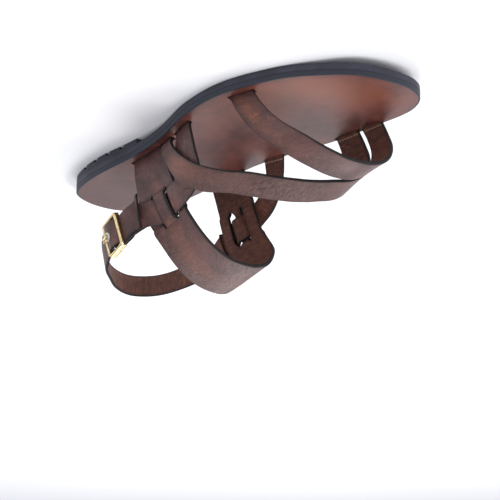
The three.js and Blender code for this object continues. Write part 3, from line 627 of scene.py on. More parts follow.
rubber_finish = sole_rubber()
brass_finish = metal("polished_brass", (0.8, 0.64, 0.34, 1), (0.46, 0.34, 0.16, 1), 0.12)
nickel_finish = metal("nickel_plate", (0.56, 0.52, 0.45, 1), (0.3, 0.27, 0.23, 1), 0.24)
print("materials:", [m.name for m in bpy.data.materials])

# %% [markdown]
# ## The foot form
#
# A strap pulled over a wooden form is a curve on it. The form here is a function: from a place along the
# sole and a turn over the foot it gives a point, with a straight base on both sides, a ridge that moves
# from the middle of the toes to the inner side of the instep, and walls that bulge. A strap lies at some
# lift off that surface, more where it runs over another strap.

# %% The form and its normals
form_x = along_to_x(form_rows["along"])
form_height = smooth_through(form_x, np.array(form_rows["height"]) * instep_height)
form_ridge = smooth_through(form_x, form_rows["ridge"])
form_lateral = smooth_through(form_x, np.array(form_rows["lateral"]) * ball_width)
form_medial = smooth_through(form_x, np.array(form_rows["medial"]) * ball_width)


def form_bare(x, turn):
    angle = np.radians(turn)
    outer_base = edge_at(x, 1) - lateral_inset
    inner_base = edge_at(x, -1) + medial_inset
    ridge = inner_base + (outer_base - inner_base) * form_ridge(x)
    outside = turn <= 90
    reach = np.where(outside, outer_base - ridge, ridge - inner_base)
    bulge = np.where(outside, form_lateral(x), -form_medial(x)) * np.abs(np.sin(2 * angle))
    y = ridge + reach * np.cos(angle) + bulge
    return np.stack([x, y, footbed_top(x) + form_height(x) * np.sin(angle)], axis=-1)


def form_at(share, turn, lift):
    x = along_to_x(share)
    t = np.clip(turn, 1, 179)
    along_x = form_bare(x + 1, t) - form_bare(x - 1, t)
    along_turn = form_bare(x, t + 1) - form_bare(x, t - 1)
    return form_bare(x, turn) + unit(np.cross(along_turn, along_x)) * np.asarray(lift)[..., None]


print("form height at the instep:", round(float(form_bare(np.array(0.0), np.array(90.0))[2]), 1), "mm")

# %% [markdown]
# ## The sole: three layers
#
# Outsole, heel and footbed are all the outline at some inset, with rounded rims. Rings of points run from a
# spine in the middle out to the rim, down the side and back in underneath. That gives clean loops along
# the rim, where the eye looks, and lets every height follow the profile. The spine's points are snapped to
# a coarse step, so that the two sides meet there and can be welded: grooves and slots are only cut cleanly
# out of a closed solid.

# %% Rings round an outline
spine_rear, spine_front, spine_step = -105, 96, 2.5
rings_inside, rim_steps = 22, 6


def ring_solid(loop, low, high, out, top_round, bottom_round, front=spine_front):
    tangent = unit(np.roll(loop, -1, axis=0) - np.roll(loop, 1, axis=0))
    inward = np.stack([-tangent[:, 1], tangent[:, 0]], axis=-1)
    if np.einsum("ij,ij->", inward, loop.mean(axis=0) - loop) < 0:
        inward = -inward
    spine_x = np.round(np.clip(loop[:, 0], spine_rear, front) / spine_step) * spine_step
    spine = np.column_stack([spine_x, (edge_at(spine_x, 1) + edge_at(spine_x, -1)) / 2])

    def ring(inset, share, height, drop):
        xy = loop + inward * (inset - out)
        xy = xy + (spine - xy) * share
        return np.column_stack([xy, height(xy[:, 0]) + drop])

    inner_shares = 1 - np.linspace(0, 1, rings_inside) ** 0.8
    quarter = np.radians(np.linspace(0, 90, rim_steps))
    rings = [ring(top_round, s, high, 0) for s in inner_shares]
    rings += [ring(top_round * (1 - math.sin(a)), 0, high, -top_round * (1 - math.cos(a))) for a in quarter[1:]]
    rings += [ring(bottom_round * (1 - math.cos(a)), 0, low, bottom_round * (1 - math.sin(a))) for a in quarter]
    rings += [ring(bottom_round, s, low, 0) for s in inner_shares[::-1][1:]]
    points = np.concatenate(rings)
    return points, facing_out(points, tube_faces(len(rings), len(loop)))


def weld(piece, apart=2e-6):
    shape = bmesh.new()
    shape.from_mesh(piece.data)
    bmesh.ops.remove_doubles(shape, verts=shape.verts, dist=apart)
    bmesh.ops.dissolve_degenerate(shape, edges=shape.edges, dist=apart)
    bmesh.ops.recalc_face_normals(shape, faces=shape.faces)
    shape.to_mesh(piece.data)
    shape.free()


def cut(piece, cutters):
    for points, faces in cutters:
        knife = new_object("cutter", new_mesh("cutter", points, faces))
        boolean = piece.modifiers.new("cut", "BOOLEAN")
        boolean.operation, boolean.solver, boolean.object = "DIFFERENCE", "MANIFOLD", knife
        evaluated = piece.evaluated_get(bpy.context.evaluated_depsgraph_get())
        fresh = bpy.data.meshes.new_from_object(evaluated)
        piece.modifiers.clear()
        piece.data = fresh
        bpy.data.objects.remove(knife)
    piece.data.set_sharp_from_angle(angle=math.radians(38))


def block(size, place, turned=0.0):
    signs = np.array([[x, y, z] for x in (-1, 1) for y in (-1, 1) for z in (-1, 1)])
    x, y, z = (signs * np.array(size) / 2).T
    c, s = math.cos(turned), math.sin(turned)
    corners = np.column_stack([x * c - y * s, x * s + y * c, z])
    faces = [(0, 1, 3, 2), (4, 6, 7, 5), (0, 4, 5, 1), (2, 3, 7, 6), (0, 2, 6, 4), (1, 5, 7, 3)]
    return corners + np.array(place), faces


# %% Outsole with cross grooves, and the heel with its notches
whole = path_through(outline[::5], even_places(520), closed=True)
points, faces = ring_solid(whole, outsole_bottom, outsole_top, insole_margin, 0.12, 0.15)
outsole = make_piece("outsole_rubber", points, faces.tolist(), rubber_finish, "outsole")
weld(outsole)
cut(outsole, [
    block([tread_width, 0.68 * ball_width, 2 * tread_depth], [along_to_x(share), 0, 0], tread_slant)
    for share in np.linspace(tread_from, tread_to, tread_count)
])

breast_x = float(along_to_x(heel_breast))
breast_round, breast_count = 0.8, 58
heel_loop = np.roll(outline, -toe_end, axis=0)
heel_loop = heel_loop[heel_loop[:, 0] < breast_x - breast_round][::2]
breast = np.linspace(heel_loop[-1], heel_loop[0], breast_count + 2)[1:-1]
breast[:, 0] += breast_round * np.clip(20 * np.sin(np.linspace(0, math.pi, breast_count)), 0, 1)
heel_loop = np.concatenate([heel_loop, breast])
points, faces = ring_solid(
    heel_loop, lambda x: 0 * x, lambda x: outsole_bottom(x) - hair_gap, insole_margin, 0.1, 0.5, breast_x - 30
)
heel = make_piece("heel_rubber", points, faces.tolist(), rubber_finish, "heel_block")
weld(heel)
cut(heel, [
    block([groove_width, 1.2 * ball_width, 2 * groove_depth], [along_to_x(share), 0, 0])
    for share in np.linspace(groove_from, groove_to, groove_count)
])
print("rubber faces:", len(outsole.data.polygons), len(heel.data.polygons))

# %% [markdown]
# ## A strap's section
#
# A real strap is cut square and its edges are sanded round before they are painted. So the section is a
# flat bar with small rounded shoulders. The columns of points lie close together at the edges, where the
# shoulder turns, and even in between. Creases are listed one by one: each is a short line on the strap, in
# shares of its length and width, that sinks the grain side a few tenths of a millimetre.

# %% Columns, respaced rows and the leather solid
shoulder = 0.75
edge_steps = np.array([0, 0.06, 0.2, 0.42, 0.75, 1.15])


def column_shares(width, step=0.9):
    count = max(3, int((width - 2 * edge_steps[-1]) / step))
    inner = np.linspace(edge_steps[-1], width - edge_steps[-1], count)
    return np.concatenate([edge_steps[:-1], inner, (width - edge_steps[:-1])[::-1]]) / width


def respaced(rows, spacing, dense_end=False):
    middle = rows[:, rows.shape[1] // 2]
    length = np.concatenate([[0], np.cumsum(np.linalg.norm(np.diff(middle, axis=0), axis=1))])
    step = np.diff(length)[:, None, None]
    slope = np.diff(rows, axis=0) / step
    inner = (slope[:-1] * step[1:] + slope[1:] * step[:-1]) / (step[1:] + step[:-1])
    tangent = np.concatenate([slope[:1], inner, slope[-1:]])
    places = np.linspace(0, length[-1], int(length[-1] / spacing) + 1)
    if dense_end:
        places = np.concatenate([places[places < length[-1] - 1.4], length[-1] - edge_steps[::-1]])
    k = np.clip(np.searchsorted(length, places, side="right") - 1, 0, len(length) - 2)
    span = (length[k + 1] - length[k])[:, None, None]
    t = (places - length[k])[:, None, None] / span
    made = hermite(t, span, rows[k], rows[k + 1], tangent[k], tangent[k + 1])
    return made, np.interp(places, length, np.arange(len(length)))


def lengths_along(grid, axis):
    steps = np.linalg.norm(np.diff(grid, axis=axis), axis=2)
    start = np.zeros_like(np.take(steps, [0], axis=axis))
    return np.cumsum(np.concatenate([start, steps], axis=axis), axis=axis)


def near_line(along, across, start, stop, wide):
    run = stop - start
    at = np.stack([along, across], axis=-1) - start
    share = np.clip((at @ run) / (run @ run), 0, 1)
    away = np.linalg.norm(at - share[..., None] * run, axis=-1)
    fade = np.sin(np.pi * np.clip(0.12 + 0.76 * share, 0, 1))
    return np.exp(-((away / wide) ** 2)) * fade


def patch(along, across, spots):
    total = np.zeros_like(along)
    for at_along, at_across, length, width, strength in spots:
        total += strength * np.exp(-(((along - at_along) / length) ** 2) - ((across - at_across) / width) ** 2)
    return np.clip(total, 0, 1)


def leather_strap(
    name, node, inner, thickness, side, edge=None, present=None, creases=(), glow=(), wrinkle=(), free=False
):
    normal = side * unit(np.cross(np.gradient(inner, axis=1), np.gradient(inner, axis=0)))
    along_mm, across_mm = lengths_along(inner, 0), lengths_along(inner, 1)
    middle = across_mm.shape[1] // 2
    along_mm = np.repeat(along_mm[:, middle : middle + 1], inner.shape[1], axis=1)
    wide = across_mm[:, -1:]
    if edge is None:
        edge = np.minimum(across_mm, wide - across_mm)
    if free:
        edge = np.minimum(edge, along_mm[-1:] - along_mm)
    round_off = shoulder - np.sqrt(np.maximum(0, shoulder**2 - np.maximum(0, shoulder - edge) ** 2))
    place, spread = along_mm / along_mm[-1, 0], across_mm / wide
    size = np.array([along_mm[-1, 0], wide.mean()])
    sunk = np.zeros_like(edge)
    for start, stop, width, depth in creases:
        line = near_line(along_mm, across_mm, np.array(start) * size, np.array(stop) * size, width)
        sunk = np.maximum(sunk, depth * line)
    thick = np.broadcast_to(np.asarray(thickness, float).reshape(-1, 1), edge.shape)
    low = inner + normal * round_off[..., None]
    high = inner + normal * (thick - round_off - sunk)[..., None]
    points = np.concatenate([low.reshape(-1, 3), high.reshape(-1, 3)])
    faces = shell_faces(np.ones((inner.shape[0] - 1, inner.shape[1] - 1), bool) if present is None else present)
    from_end = along_mm if free else np.minimum(along_mm, along_mm[-1:] - along_mm)
    flesh = np.repeat([1.0, 0.0], edge.size)
    flat = lambda values: np.concatenate([values.ravel(), values.ravel()])
    facts = {
        "edge": flat(edge),
        "along": flat(along_mm),
        "across": flat(across_mm),
        "flesh": flesh,
        "layer": flesh * 40 + 7.3 * len(pieces),
        "glow": flat(patch(place, spread, glow)),
        "wrinkle": flat(patch(place, spread, wrinkle)),
        "base": flat(from_end - insole_thickness),
    }
    points, faces, facts = used_only(points, facing_out(points, faces), facts)
    make_piece(name, points, faces.tolist(), strap_finish, node, facts, sharp=60)
    print(name, "is", round(float(along_mm[-1, 0])), "mm long and has", len(faces), "faces")


# %% [markdown]
# ## Letting the ends in
#
# On the outer side a strap goes down through a slot in the footbed. On the inner side it leaves at the very
# edge, through an open notch. Each end gets a short straight tail down to the underside, and notes the
# slot to be cut for it.

# %% Tails and slots
slot_cutters = []
slot_play, slot_end_play = 1.3 * clearance, 4.5 * clearance
notch_reach, tail_rows = 12, 4


def let_in(rows, thickness, start=None, stop=None):
    def tail(row, kind):
        run = row[-1] - row[0]
        outward = unit([run[1], -run[0], 0])
        sign = -1 if kind == "edge" else 1
        outward = outward * (1 if outward[1] * sign > 0 else -1)
        level_run = unit([run[0], run[1], 0])
        ends = np.array([row[0] - level_run * slot_end_play, row[-1] + level_run * slot_end_play])
        near = ends - outward * slot_play
        far = ends + outward * (thickness + (notch_reach if kind == "edge" else 4 * slot_play))
        corners = np.array([[*p[:2], z] for p in (*near, *far[::-1]) for z in (-20, 60)])
        faces = [(0, 1, 3, 2), (2, 3, 5, 4), (4, 5, 7, 6), (6, 7, 1, 0), (0, 2, 4, 6), (1, 7, 5, 3)]
        slot_cutters.append((corners, faces))
        foot = row.copy()
        foot[:, 2] = insole_bottom(row[:, 0])
        return [row + (foot - row) * k / tail_rows for k in range(1, tail_rows + 1)]

    made = list(rows)
    if start:
        made = tail(rows[0], start)[::-1] + made
    if stop:
        made = made + tail(rows[-1], stop)
    return np.array(made)


def over_form(rows, stations, shares_at, lift_at=lambda turn, shares: 0):
    t = (len(rows["turn"]) - 1) * np.arange(stations + 1) / stations
    turn = column(rows, "turn")(t)
    front, rear = column(rows, "front")(t)[:, None], column(rows, "rear")(t)[:, None]
    lift = column(rows, "lift")(t)[:, None] if "lift" in rows else np.zeros((len(t), 1))
    shares = shares_at(turn)
    turns = np.repeat(turn[:, None], shares.shape[1], axis=1)
    grid = form_at(front + (rear - front) * shares, turns, lift * weave_lift + lift_at(turn[:, None], shares))
    return grid, turn


def plain_strap(name, node, rows, stations, width, **looks):
    shares = column_shares(width)
    grid, _ = over_form(rows, stations, lambda turn: np.repeat(shares[None], len(turn), axis=0))
    grid, _ = respaced(grid, 0.85)
    rows = let_in(grid, strap_thickness, "slot", "edge")
    leather_strap(name, node, rows, strap_thickness, 1, **looks)


# %% [markdown]
# ## Toe strap and instep strap
#
# Both are plain straps from the outer slot to the inner edge. The instep strap has been bent most: fine
# cross wrinkles cover its middle, and it glows orange-brown where it dives down to its slot. A crease is
# where it starts, where it stops, each as shares along and across the strap, and its width and depth in
# millimetres. A spot of glow or of wrinkles is its place, its reach along and across, and its strength.

# %% Toe strap and instep strap
plain_strap(
    "toe_strap_leather", "toe_strap", toe_rows, 60, 21,
    creases=[
        ((0.06, 0.15), (0.075, 0.8), 0.8, 0.14),
        ((0.88, 0.1), (0.9, 0.9), 0.8, 0.18),
        ((0.93, 0.2), (0.925, 0.95), 0.7, 0.2),
        ((0.45, 0.5), (0.47, 0.95), 0.9, 0.08),
    ],
    glow=[
        (0.12, 0.55, 0.09, 0.4, 0.62), (0.3, 0.75, 0.14, 0.35, 0.35),
        (0.62, 0.3, 0.12, 0.3, 0.3), (0.8, 0.5, 0.07, 0.5, 0.4),
    ],
    wrinkle=[(0.9, 0.5, 0.09, 0.8, 0.9), (0.1, 0.4, 0.06, 0.5, 0.3), (0.5, 0.5, 0.25, 0.6, 0.3)],
)
plain_strap(
    "instep_strap_leather", "instep_strap", instep_rows, 90, 21,
    creases=[
        ((0.1, 0.3), (0.115, 0.95), 1.0, 0.22),
        ((0.135, 0.05), (0.15, 0.7), 0.9, 0.2),
        ((0.43, 0.1), (0.465, 0.75), 0.6, 0.16),
        ((0.47, 0.25), (0.5, 0.95), 0.6, 0.18),
        ((0.52, 0.05), (0.535, 0.6), 0.55, 0.14),
        ((0.545, 0.4), (0.57, 0.95), 0.6, 0.16),
        ((0.585, 0.1), (0.6, 0.7), 0.6, 0.15),
        ((0.63, 0.35), (0.64, 0.9), 0.6, 0.12),
        ((0.93, 0.1), (0.94, 0.9), 0.8, 0.2),
    ],
    glow=[(0.2, 0.5, 0.09, 0.6, 0.75), (0.33, 0.35, 0.1, 0.4, 0.3), (0.8, 0.5, 0.08, 0.5, 0.25)],
    wrinkle=[
        (0.55, 0.5, 0.2, 0.8, 1.0), (0.3, 0.5, 0.08, 0.7, 0.5),
        (0.93, 0.5, 0.07, 0.8, 0.9), (0.05, 0.5, 0.05, 0.8, 0.8),
    ],
)

# %% [markdown]
# ## The band and its slits
#
# The broad band has two lengthwise slits on each side, and the heel strap weaves in and out of them. Where
# it does, the strip between the slits stands out and the strips beside it sink in. The slits are cells that
# are left out of the grid, narrow at their ends and open in the middle. On the way over the foot, the two
# rows of cells move from the slits' places on the outer side to those on the inner side.

# %% How far a slit is open, and the band's columns
def slit_open(turn):
    total = np.zeros_like(turn, float)
    for start, stop in zip(slit_rows["start"], slit_rows["stop"]):
        ramp = np.clip(np.minimum(turn - start, stop - turn) / (slit_ramp * (stop - start)), 0, 1)
        total += ramp**2 * (3 - 2 * ramp)
    return total


band_width = (band_rows["front"][3] - band_rows["rear"][3]) * sole_length
to_inner = smooth_through([44, 138], [0, 1])
strip_width, strip_middle_columns = 13, 9


def slit_edges(turn):
    half = (slit_end_width + (slit_width - slit_end_width) * slit_open(turn)) / 2 / band_width
    edges = []
    for on_outer, on_inner in (slit_rows["front"], slit_rows["rear"]):
        middle = on_outer + (on_inner - on_outer) * to_inner(turn)
        edges += [middle - half, middle + half]
    return edges


def strip_shares():
    edge = edge_steps[1:] / strip_width
    inner = np.linspace(edge[-1], 1 - edge[-1], strip_middle_columns)[1:-1]
    return np.concatenate([[0], edge, inner, (1 - edge)[::-1], [1]])


def band_shares(turn):
    a, b, c, d = slit_edges(turn)
    strip = strip_shares()
    parts = [
        low[:, None] + (high - low)[:, None] * strip for low, high in ((0 * a, a), (b, c), (d, 0 * a + 1))
    ]
    middle = lambda low, high: ((low + high) / 2)[:, None]
    return np.concatenate([parts[0], middle(a, b), parts[1], middle(c, d), parts[2]], axis=1)


strip_size = len(strip_shares())
first_slit, second_slit = strip_size, 2 * strip_size + 1


def band_lift(turn, shares):
    number = np.arange(shares.shape[1])[None]
    of_strip = np.where((number > first_slit) & (number < second_slit), middle_lift, side_lift)
    of_strip = np.where((number == first_slit) | (number == second_slit), (middle_lift + side_lift) / 2, of_strip)
    return of_strip * slit_open(turn) * weave_lift


# %% Instep band
grid, turns = over_form(band_rows, 260, band_shares, band_lift)
rows = let_in(grid, strap_thickness, "slot", "edge")
row_turns = np.concatenate([[0] * tail_rows, turns, [180] * tail_rows])
present = np.ones((rows.shape[0] - 1, rows.shape[1] - 1), bool)
across, run = lengths_along(rows, 1), lengths_along(rows, 0)
edge = np.minimum(across, across[:, -1:] - across)
for start, stop in zip(slit_rows["start"], slit_rows["stop"]):
    in_slit = (row_turns > start) & (row_turns < stop)
    first, *_, last = np.flatnonzero(in_slit)
    for slit in (first_slit, second_slit):
        present[in_slit[:-1] & in_slit[1:], slit - 1 : slit + 1] = False
        place = run[:, slit : slit + 1]
        past = np.maximum(np.maximum(place[first] - place, place - place[last]), 0)
        to_rim = np.minimum(*(np.abs(across - across[:, k : k + 1]) for k in (slit - 1, slit + 1)))
        to_rim[:, slit - 1 : slit + 2] = 0
        edge = np.minimum(edge, np.hypot(past, to_rim))
leather_strap(
    "instep_band_leather", "instep_band", rows, strap_thickness, 1, edge=edge, present=present,
    creases=[
        ((0.56, 0.62), (0.6, 0.9), 0.7, 0.1),
        ((0.53, 0.7), (0.555, 0.97), 0.6, 0.1),
        ((0.5, 0.74), (0.52, 0.98), 0.6, 0.09),
        ((0.24, 0.3), (0.29, 0.42), 0.9, 0.14),
        ((0.25, 0.6), (0.3, 0.5), 0.9, 0.12),
        ((0.94, 0.15), (0.95, 0.85), 0.9, 0.16),
        ((0.05, 0.2), (0.06, 0.8), 0.9, 0.14),
    ],
    glow=[
        (0.4, 0.62, 0.12, 0.25, 0.6), (0.3, 0.45, 0.05, 0.2, 0.4),
        (0.62, 0.3, 0.1, 0.2, 0.25), (0.15, 0.45, 0.06, 0.25, 0.45),
    ],
    wrinkle=[(0.48, 0.75, 0.18, 0.35, 0.65), (0.94, 0.5, 0.06, 0.8, 0.9), (0.3, 0.5, 0.06, 0.4, 0.4)],
)

# %% [markdown]
# ## The buckle's place
#
# The buckle lies on the outer side above the heel. All that is in it is laid out in its own directions:
# heading runs back along the strap, outward leaves the leg and upward runs across the strap. The layers are
# stacked by their thicknesses: the sling's end outside, the near strap's fold inside, and the folded-back
# end against the leg.

# %% Directions and levels at the buckle
buckle_middle = np.array([
    along_to_x(buckle_place["along"]), buckle_place["across"] * ball_width, buckle_place["up"] * instep_height,
])
heading = unit(buckle_heading)
upward = np.array([0, -buckle_place["lean"], 1.0])
upward = unit(upward - heading * (upward @ heading))
outward = unit(np.cross(heading, upward))


def buckle_spot(along, level, height=0.0):
    return buckle_middle + heading * along + outward * level + upward * height


under_bar = -buckle_bar - clearance
tip_inner = under_bar - heel_strap_thickness
fold_outer = tip_inner - 2 * clearance
fold_inner = fold_outer - fold_thickness
flap_outer = fold_inner - clearance
fold_radius = centre_bar + clearance
over_fold = -centre_drop + fold_radius + fold_thickness + clearance
half_buckle = buckle_length / 2
prong_at = centre_bar + clearance + prong_radius
print("buckle's middle, mm:", [round(float(v), 1) for v in buckle_middle + to_frame])

# %% Helpers for the heel strap's two straps


def smooth_spots(spots, count):
    middles = path_through([s[0] for s in spots], np.arange(count + 1) / count)
    ups = unit(path_through([s[1] for s in spots], np.arange(count + 1) / count))
    return list(zip(middles, ups))


def row_spot(row):
    return (row[0] + row[-1]) / 2, unit(row[0] - row[-1])


heel_shares = column_shares(heel_strap_width, 0.8)


def rows_across(spots):
    return np.array([m + u * heel_strap_width * (0.5 - heel_shares[:, None]) for m, u in spots])


def weave(rows, stations):
    t = (len(rows["top"]) - 1) * np.arange(stations + 1) / stations
    top, top_turn, bottom, bottom_turn, lift = (
        column(rows, key)(t)[:, None] for key in ("top", "top_turn", "bottom", "bottom_turn", "lift")
    )
    share = top + (bottom - top) * heel_shares
    turn = top_turn + (bottom_turn - top_turn) * heel_shares
    return form_at(share, turn, lift * weave_lift + 0 * share)


# %% [markdown]
# ## Near heel strap
#
# It comes up from its slot, goes over the band's front strip, under its middle strip and over the rear one,
# and then folds round the buckle's centre bar. The leather is thinned, or skived, where it folds.

# %% Near heel strap
woven = weave(near_weave_rows, 50)
spots = [
    row_spot(woven[-3]),
    row_spot(woven[-1]),
    (buckle_spot(-half_buckle - 3.5, fold_inner - 0.5), upward),
    (buckle_spot(-half_buckle, fold_inner), upward),
]
near_run = smooth_spots(spots, 20)[8:]
rise = (fold_inner + centre_drop - fold_radius) / 2 - centre_drop + fold_radius
fold = [(-half_buckle * 0.72, fold_inner * 0.9), (-half_buckle * 0.42, rise)]
for k in range(11):
    angle = math.radians(115 - 23 * k)
    fold.append((fold_radius * math.cos(angle), -centre_drop + fold_radius * math.sin(angle)))
fold.append((-half_buckle * 0.42, (flap_outer - centre_drop - fold_radius) / 2 - 0.35))
fold.append((-half_buckle * 0.75, flap_outer * 0.94))
fold.append((-half_buckle, flap_outer))
fold.append((-half_buckle - 6, flap_outer))
coarse = np.concatenate([woven, rows_across(near_run + [(buckle_spot(*f), upward) for f in fold])])
skive_from = len(coarse) - len(fold) - 12
fine, number = respaced(coarse, 0.55, dense_end=True)
share = np.clip((number - skive_from) / 4, 0, 1)
thickness = heel_strap_thickness + (fold_thickness - heel_strap_thickness) * share
thickness = np.concatenate([[heel_strap_thickness] * tail_rows, thickness])
leather_strap(
    "near_heel_strap_leather", "near_heel_strap", let_in(fine, heel_strap_thickness, "slot"), thickness, 1,
    free=True,
    creases=[
        ((0.28, 0.1), (0.31, 0.9), 0.8, 0.14),
        ((0.34, 0.2), (0.33, 0.85), 0.7, 0.12),
        ((0.45, 0.1), (0.46, 0.8), 0.8, 0.12),
    ],
    glow=[(0.3, 0.5, 0.07, 0.5, 0.5), (0.43, 0.4, 0.05, 0.4, 0.45), (0.58, 0.6, 0.08, 0.4, 0.3)],
    wrinkle=[(0.3, 0.5, 0.08, 0.7, 0.5), (0.03, 0.5, 0.05, 0.8, 0.6)],
)

# %% [markdown]
# ## Sling strap
#
# The long strap comes up from the inner edge, weaves through the band, goes round behind the heel and
# through the buckle. Its free end lies on the near strap, a little proud, and is cut at a slant. Its inner
# face shows the wrinkled flesh side behind the heel, and it leans in towards the heel's middle there.

# %% Sling strap
woven = weave(far_weave_rows, 40)
heel_middle = np.array([float(along_to_x(0.24)), -0.06 * ball_width, 0])
round_heel = []
for along, across, up, lean in reversed(list(zip(*sling_rows.values()))):
    middle = np.array([float(along_to_x(along)), across * ball_width, up * instep_height])
    from_heel = (middle - heel_middle) * [1, 1, 0]
    round_heel.append((middle, unit(np.array([0, 0, 1.0]) - lean * unit(from_heel))))
in_buckle = [
    (half_buckle + 7, under_bar - heel_strap_thickness),
    (half_buckle, tip_inner),
    (half_buckle - 1.8, tip_inner + 0.1),
    ((half_buckle + prong_at + 1.2) / 2, (tip_inner + over_fold) / 2),
    (prong_at + 1.2, over_fold),
    (-1.4, over_fold),
    (-(half_buckle + 1.4) / 2, (tip_inner + over_fold) / 2 + 0.3),
    (-half_buckle + 1.8, tip_inner + 0.1),
    (-half_buckle, tip_inner - 0.1),
]
spots = [row_spot(woven[-3]), row_spot(woven[-1]), *round_heel, *[(buckle_spot(*s), upward) for s in in_buckle]]
tip_layer, slant_reach = heel_strap_thickness + 2.6 * clearance, 16
places = np.array([(m - buckle_middle) @ heading for m, _ in near_run])
for share in (0.25, 0.6, 1):
    k = int(np.abs(places - (-half_buckle - tip_length * share)).argmin())
    middle, up = near_run[k]
    ahead = near_run[min(len(near_run) - 1, k + 1)][0] - near_run[max(0, k - 1)][0]
    off = tip_layer + tip_stand * share**2
    spots.append((middle + unit(np.cross(ahead, up)) * off - up * tip_droop * share, up))
coarse = np.concatenate([woven, rows_across(smooth_spots(spots, 84)[4:])])
fine, _ = respaced(coarse, 0.7, dense_end=True)
to_tip = np.cumsum(np.linalg.norm(np.diff(fine[::-1, 0], axis=0), axis=1))
to_tip = np.concatenate([[0], to_tip])[::-1]
slant = tip_slant * np.clip(1 - to_tip / slant_reach, 0, 1)[:, None] * (heel_shares - 0.5)[None]
ahead = unit(np.gradient(fine[:, len(heel_shares) // 2], axis=0))[:, None]
fine = fine + ahead * slant[..., None]
leather_strap(
    "sling_strap_leather", "sling_strap", let_in(fine, heel_strap_thickness, "edge"), heel_strap_thickness, -1,
    free=True,
    creases=[
        ((0.5, 0.2), (0.505, 0.85), 0.9, 0.1),
        ((0.56, 0.1), (0.565, 0.9), 0.8, 0.12),
        ((0.62, 0.15), (0.62, 0.8), 0.9, 0.1),
        ((0.03, 0.1), (0.035, 0.9), 0.8, 0.16),
        ((0.86, 0.1), (0.865, 0.9), 0.8, 0.12),
    ],
    glow=[(0.35, 0.5, 0.06, 0.5, 0.3), (0.6, 0.4, 0.1, 0.4, 0.3)],
    wrinkle=[(0.6, 0.5, 0.14, 0.8, 0.8), (0.03, 0.5, 0.05, 0.8, 0.9), (0.3, 0.5, 0.08, 0.8, 0.4)],
)

# %% [markdown]
# ## Footbed
#
# The footbed goes on last of the sole's layers, because the straps' tails decide its slots. It stands out
# nearly flush with the rubber, its rim is rounded, and its skin carries the distance to the rim, which the
# finish reads: points on its side count as the rim itself, so that the side gets the paint.

# %% Footbed with its slots
points, faces = ring_solid(
    whole, lambda x: outsole_top(x) + hair_gap, footbed_top, insole_margin - 0.15, 0.6, 0.1
)
footbed = make_piece("footbed_leather_layer", points, faces.tolist(), footbed_finish, "insole")
weld(footbed)
cut(footbed, slot_cutters)
skin = np.array([v.co for v in footbed.data.vertices]) * 1000 - to_frame
to_rim = np.concatenate([
    np.linalg.norm(part[:, None, :2] - whole[None], axis=2).min(axis=1) for part in np.array_split(skin, 40)
])
to_rim = np.where(skin[:, 2] < footbed_top(skin[:, 0]) - 0.5, 0, to_rim)
rim = footbed.data.attributes.new("edge", "FLOAT", "POINT")
rim.data.foreach_set("value", to_rim.astype(np.float32))
print("footbed faces:", len(footbed.data.polygons), "slots:", len(slot_cutters))

# %% [markdown]
# ## Buckle, prong and eyelet
#
# The frame is a cast brass rectangle with rounded corners. Its two side bars are deep, with a step along
# them, and they hold the centre bar nearer the leg. The prong is looped round the centre bar, rises through
# the eyelet and rests on the rear bar. All are swept tubes, so that their highlights run clean along them.

# %% A swept bar
def swept(path, closed, across, deep, squareness=2.0, sides=20, level=None):
    path = np.asarray(path, float)
    ahead = np.roll(path, -1, axis=0) - np.roll(path, 1, axis=0)
    if not closed:
        ahead[0], ahead[-1] = path[1] - path[0], path[-1] - path[-2]
    ahead = unit(ahead)
    first = unit(np.cross(ahead, np.broadcast_to(outward if level is None else level, ahead.shape)))
    second = unit(np.cross(first, ahead))
    angle = np.arange(sides) * 2 * math.pi / sides
    wide, tall = (np.sign(v) * np.abs(v) ** (2 / squareness) for v in (np.cos(angle), np.sin(angle)))
    across, deep = (np.broadcast_to(np.asarray(v, float), len(path))[:, None, None] for v in (across, deep))
    rings = (
        path[:, None]
        + first[:, None] * wide[None, :, None] * across
        + second[:, None] * tall[None, :, None] * deep
    )
    points = rings.reshape(-1, 3)
    tube = tube_faces(len(path), sides, closed)
    faces = facing_out(points - points.mean(axis=0), tube)
    listed = faces.tolist()
    if not closed:
        flip = 1 if faces is tube else -1
        at = np.arange(len(points)).reshape(len(path), sides)
        listed += [at[0][::flip].tolist(), at[-1][::-flip].tolist()]
    return points, listed


def joined(parts):
    points, faces, start = [], [], 0
    for part_points, part_faces in parts:
        points.append(part_points)
        faces += [[start + k for k in face] for face in part_faces]
        start += len(part_points)
    return np.concatenate(points), faces


# %% Buckle frame with its centre bar
half_height = buckle_inside / 2 + buckle_bar
corner = 2.2
ring = []
for cx, cy, start in ((1, 1, 0), (-1, 1, 90), (-1, -1, 180), (1, -1, 270)):
    for angle in np.radians(start + np.linspace(0, 90, 9)):
        ring.append(buckle_spot(
            cx * (half_buckle - corner) + corner * math.cos(angle), 0,
            cy * (half_height - corner) + corner * math.sin(angle),
        ))
ring = path_through(ring, even_places(180), closed=True)
centre = [buckle_spot(0, -centre_drop, h) for h in np.linspace(-half_height, half_height, 12)]
parts = [
    swept(ring, True, buckle_bar, buckle_bar * 0.98, 2.7, 24),
    swept(centre, False, centre_bar, centre_bar, 2.0, 16, level=heading),
]
plate_middle = buckle_bar - 0.45 - side_depth / 2
for height in (-half_height, half_height):
    ends = np.linspace(-half_buckle + 0.2, half_buckle - 0.2, 40)
    plate = [buckle_spot(a, plate_middle, height) for a in ends]
    taper = np.interp(np.abs(ends), [0, half_buckle - 1.6, half_buckle - 0.2], [1, 1, 0.72])
    parts.append(swept(plate, False, side_width / 2, side_depth / 2 * taper, 6.0, 28))
points, faces = joined(parts)
buckle = make_piece("buckle_frame_brass", points, faces, brass_finish, "buckle_frame", sharp=45)

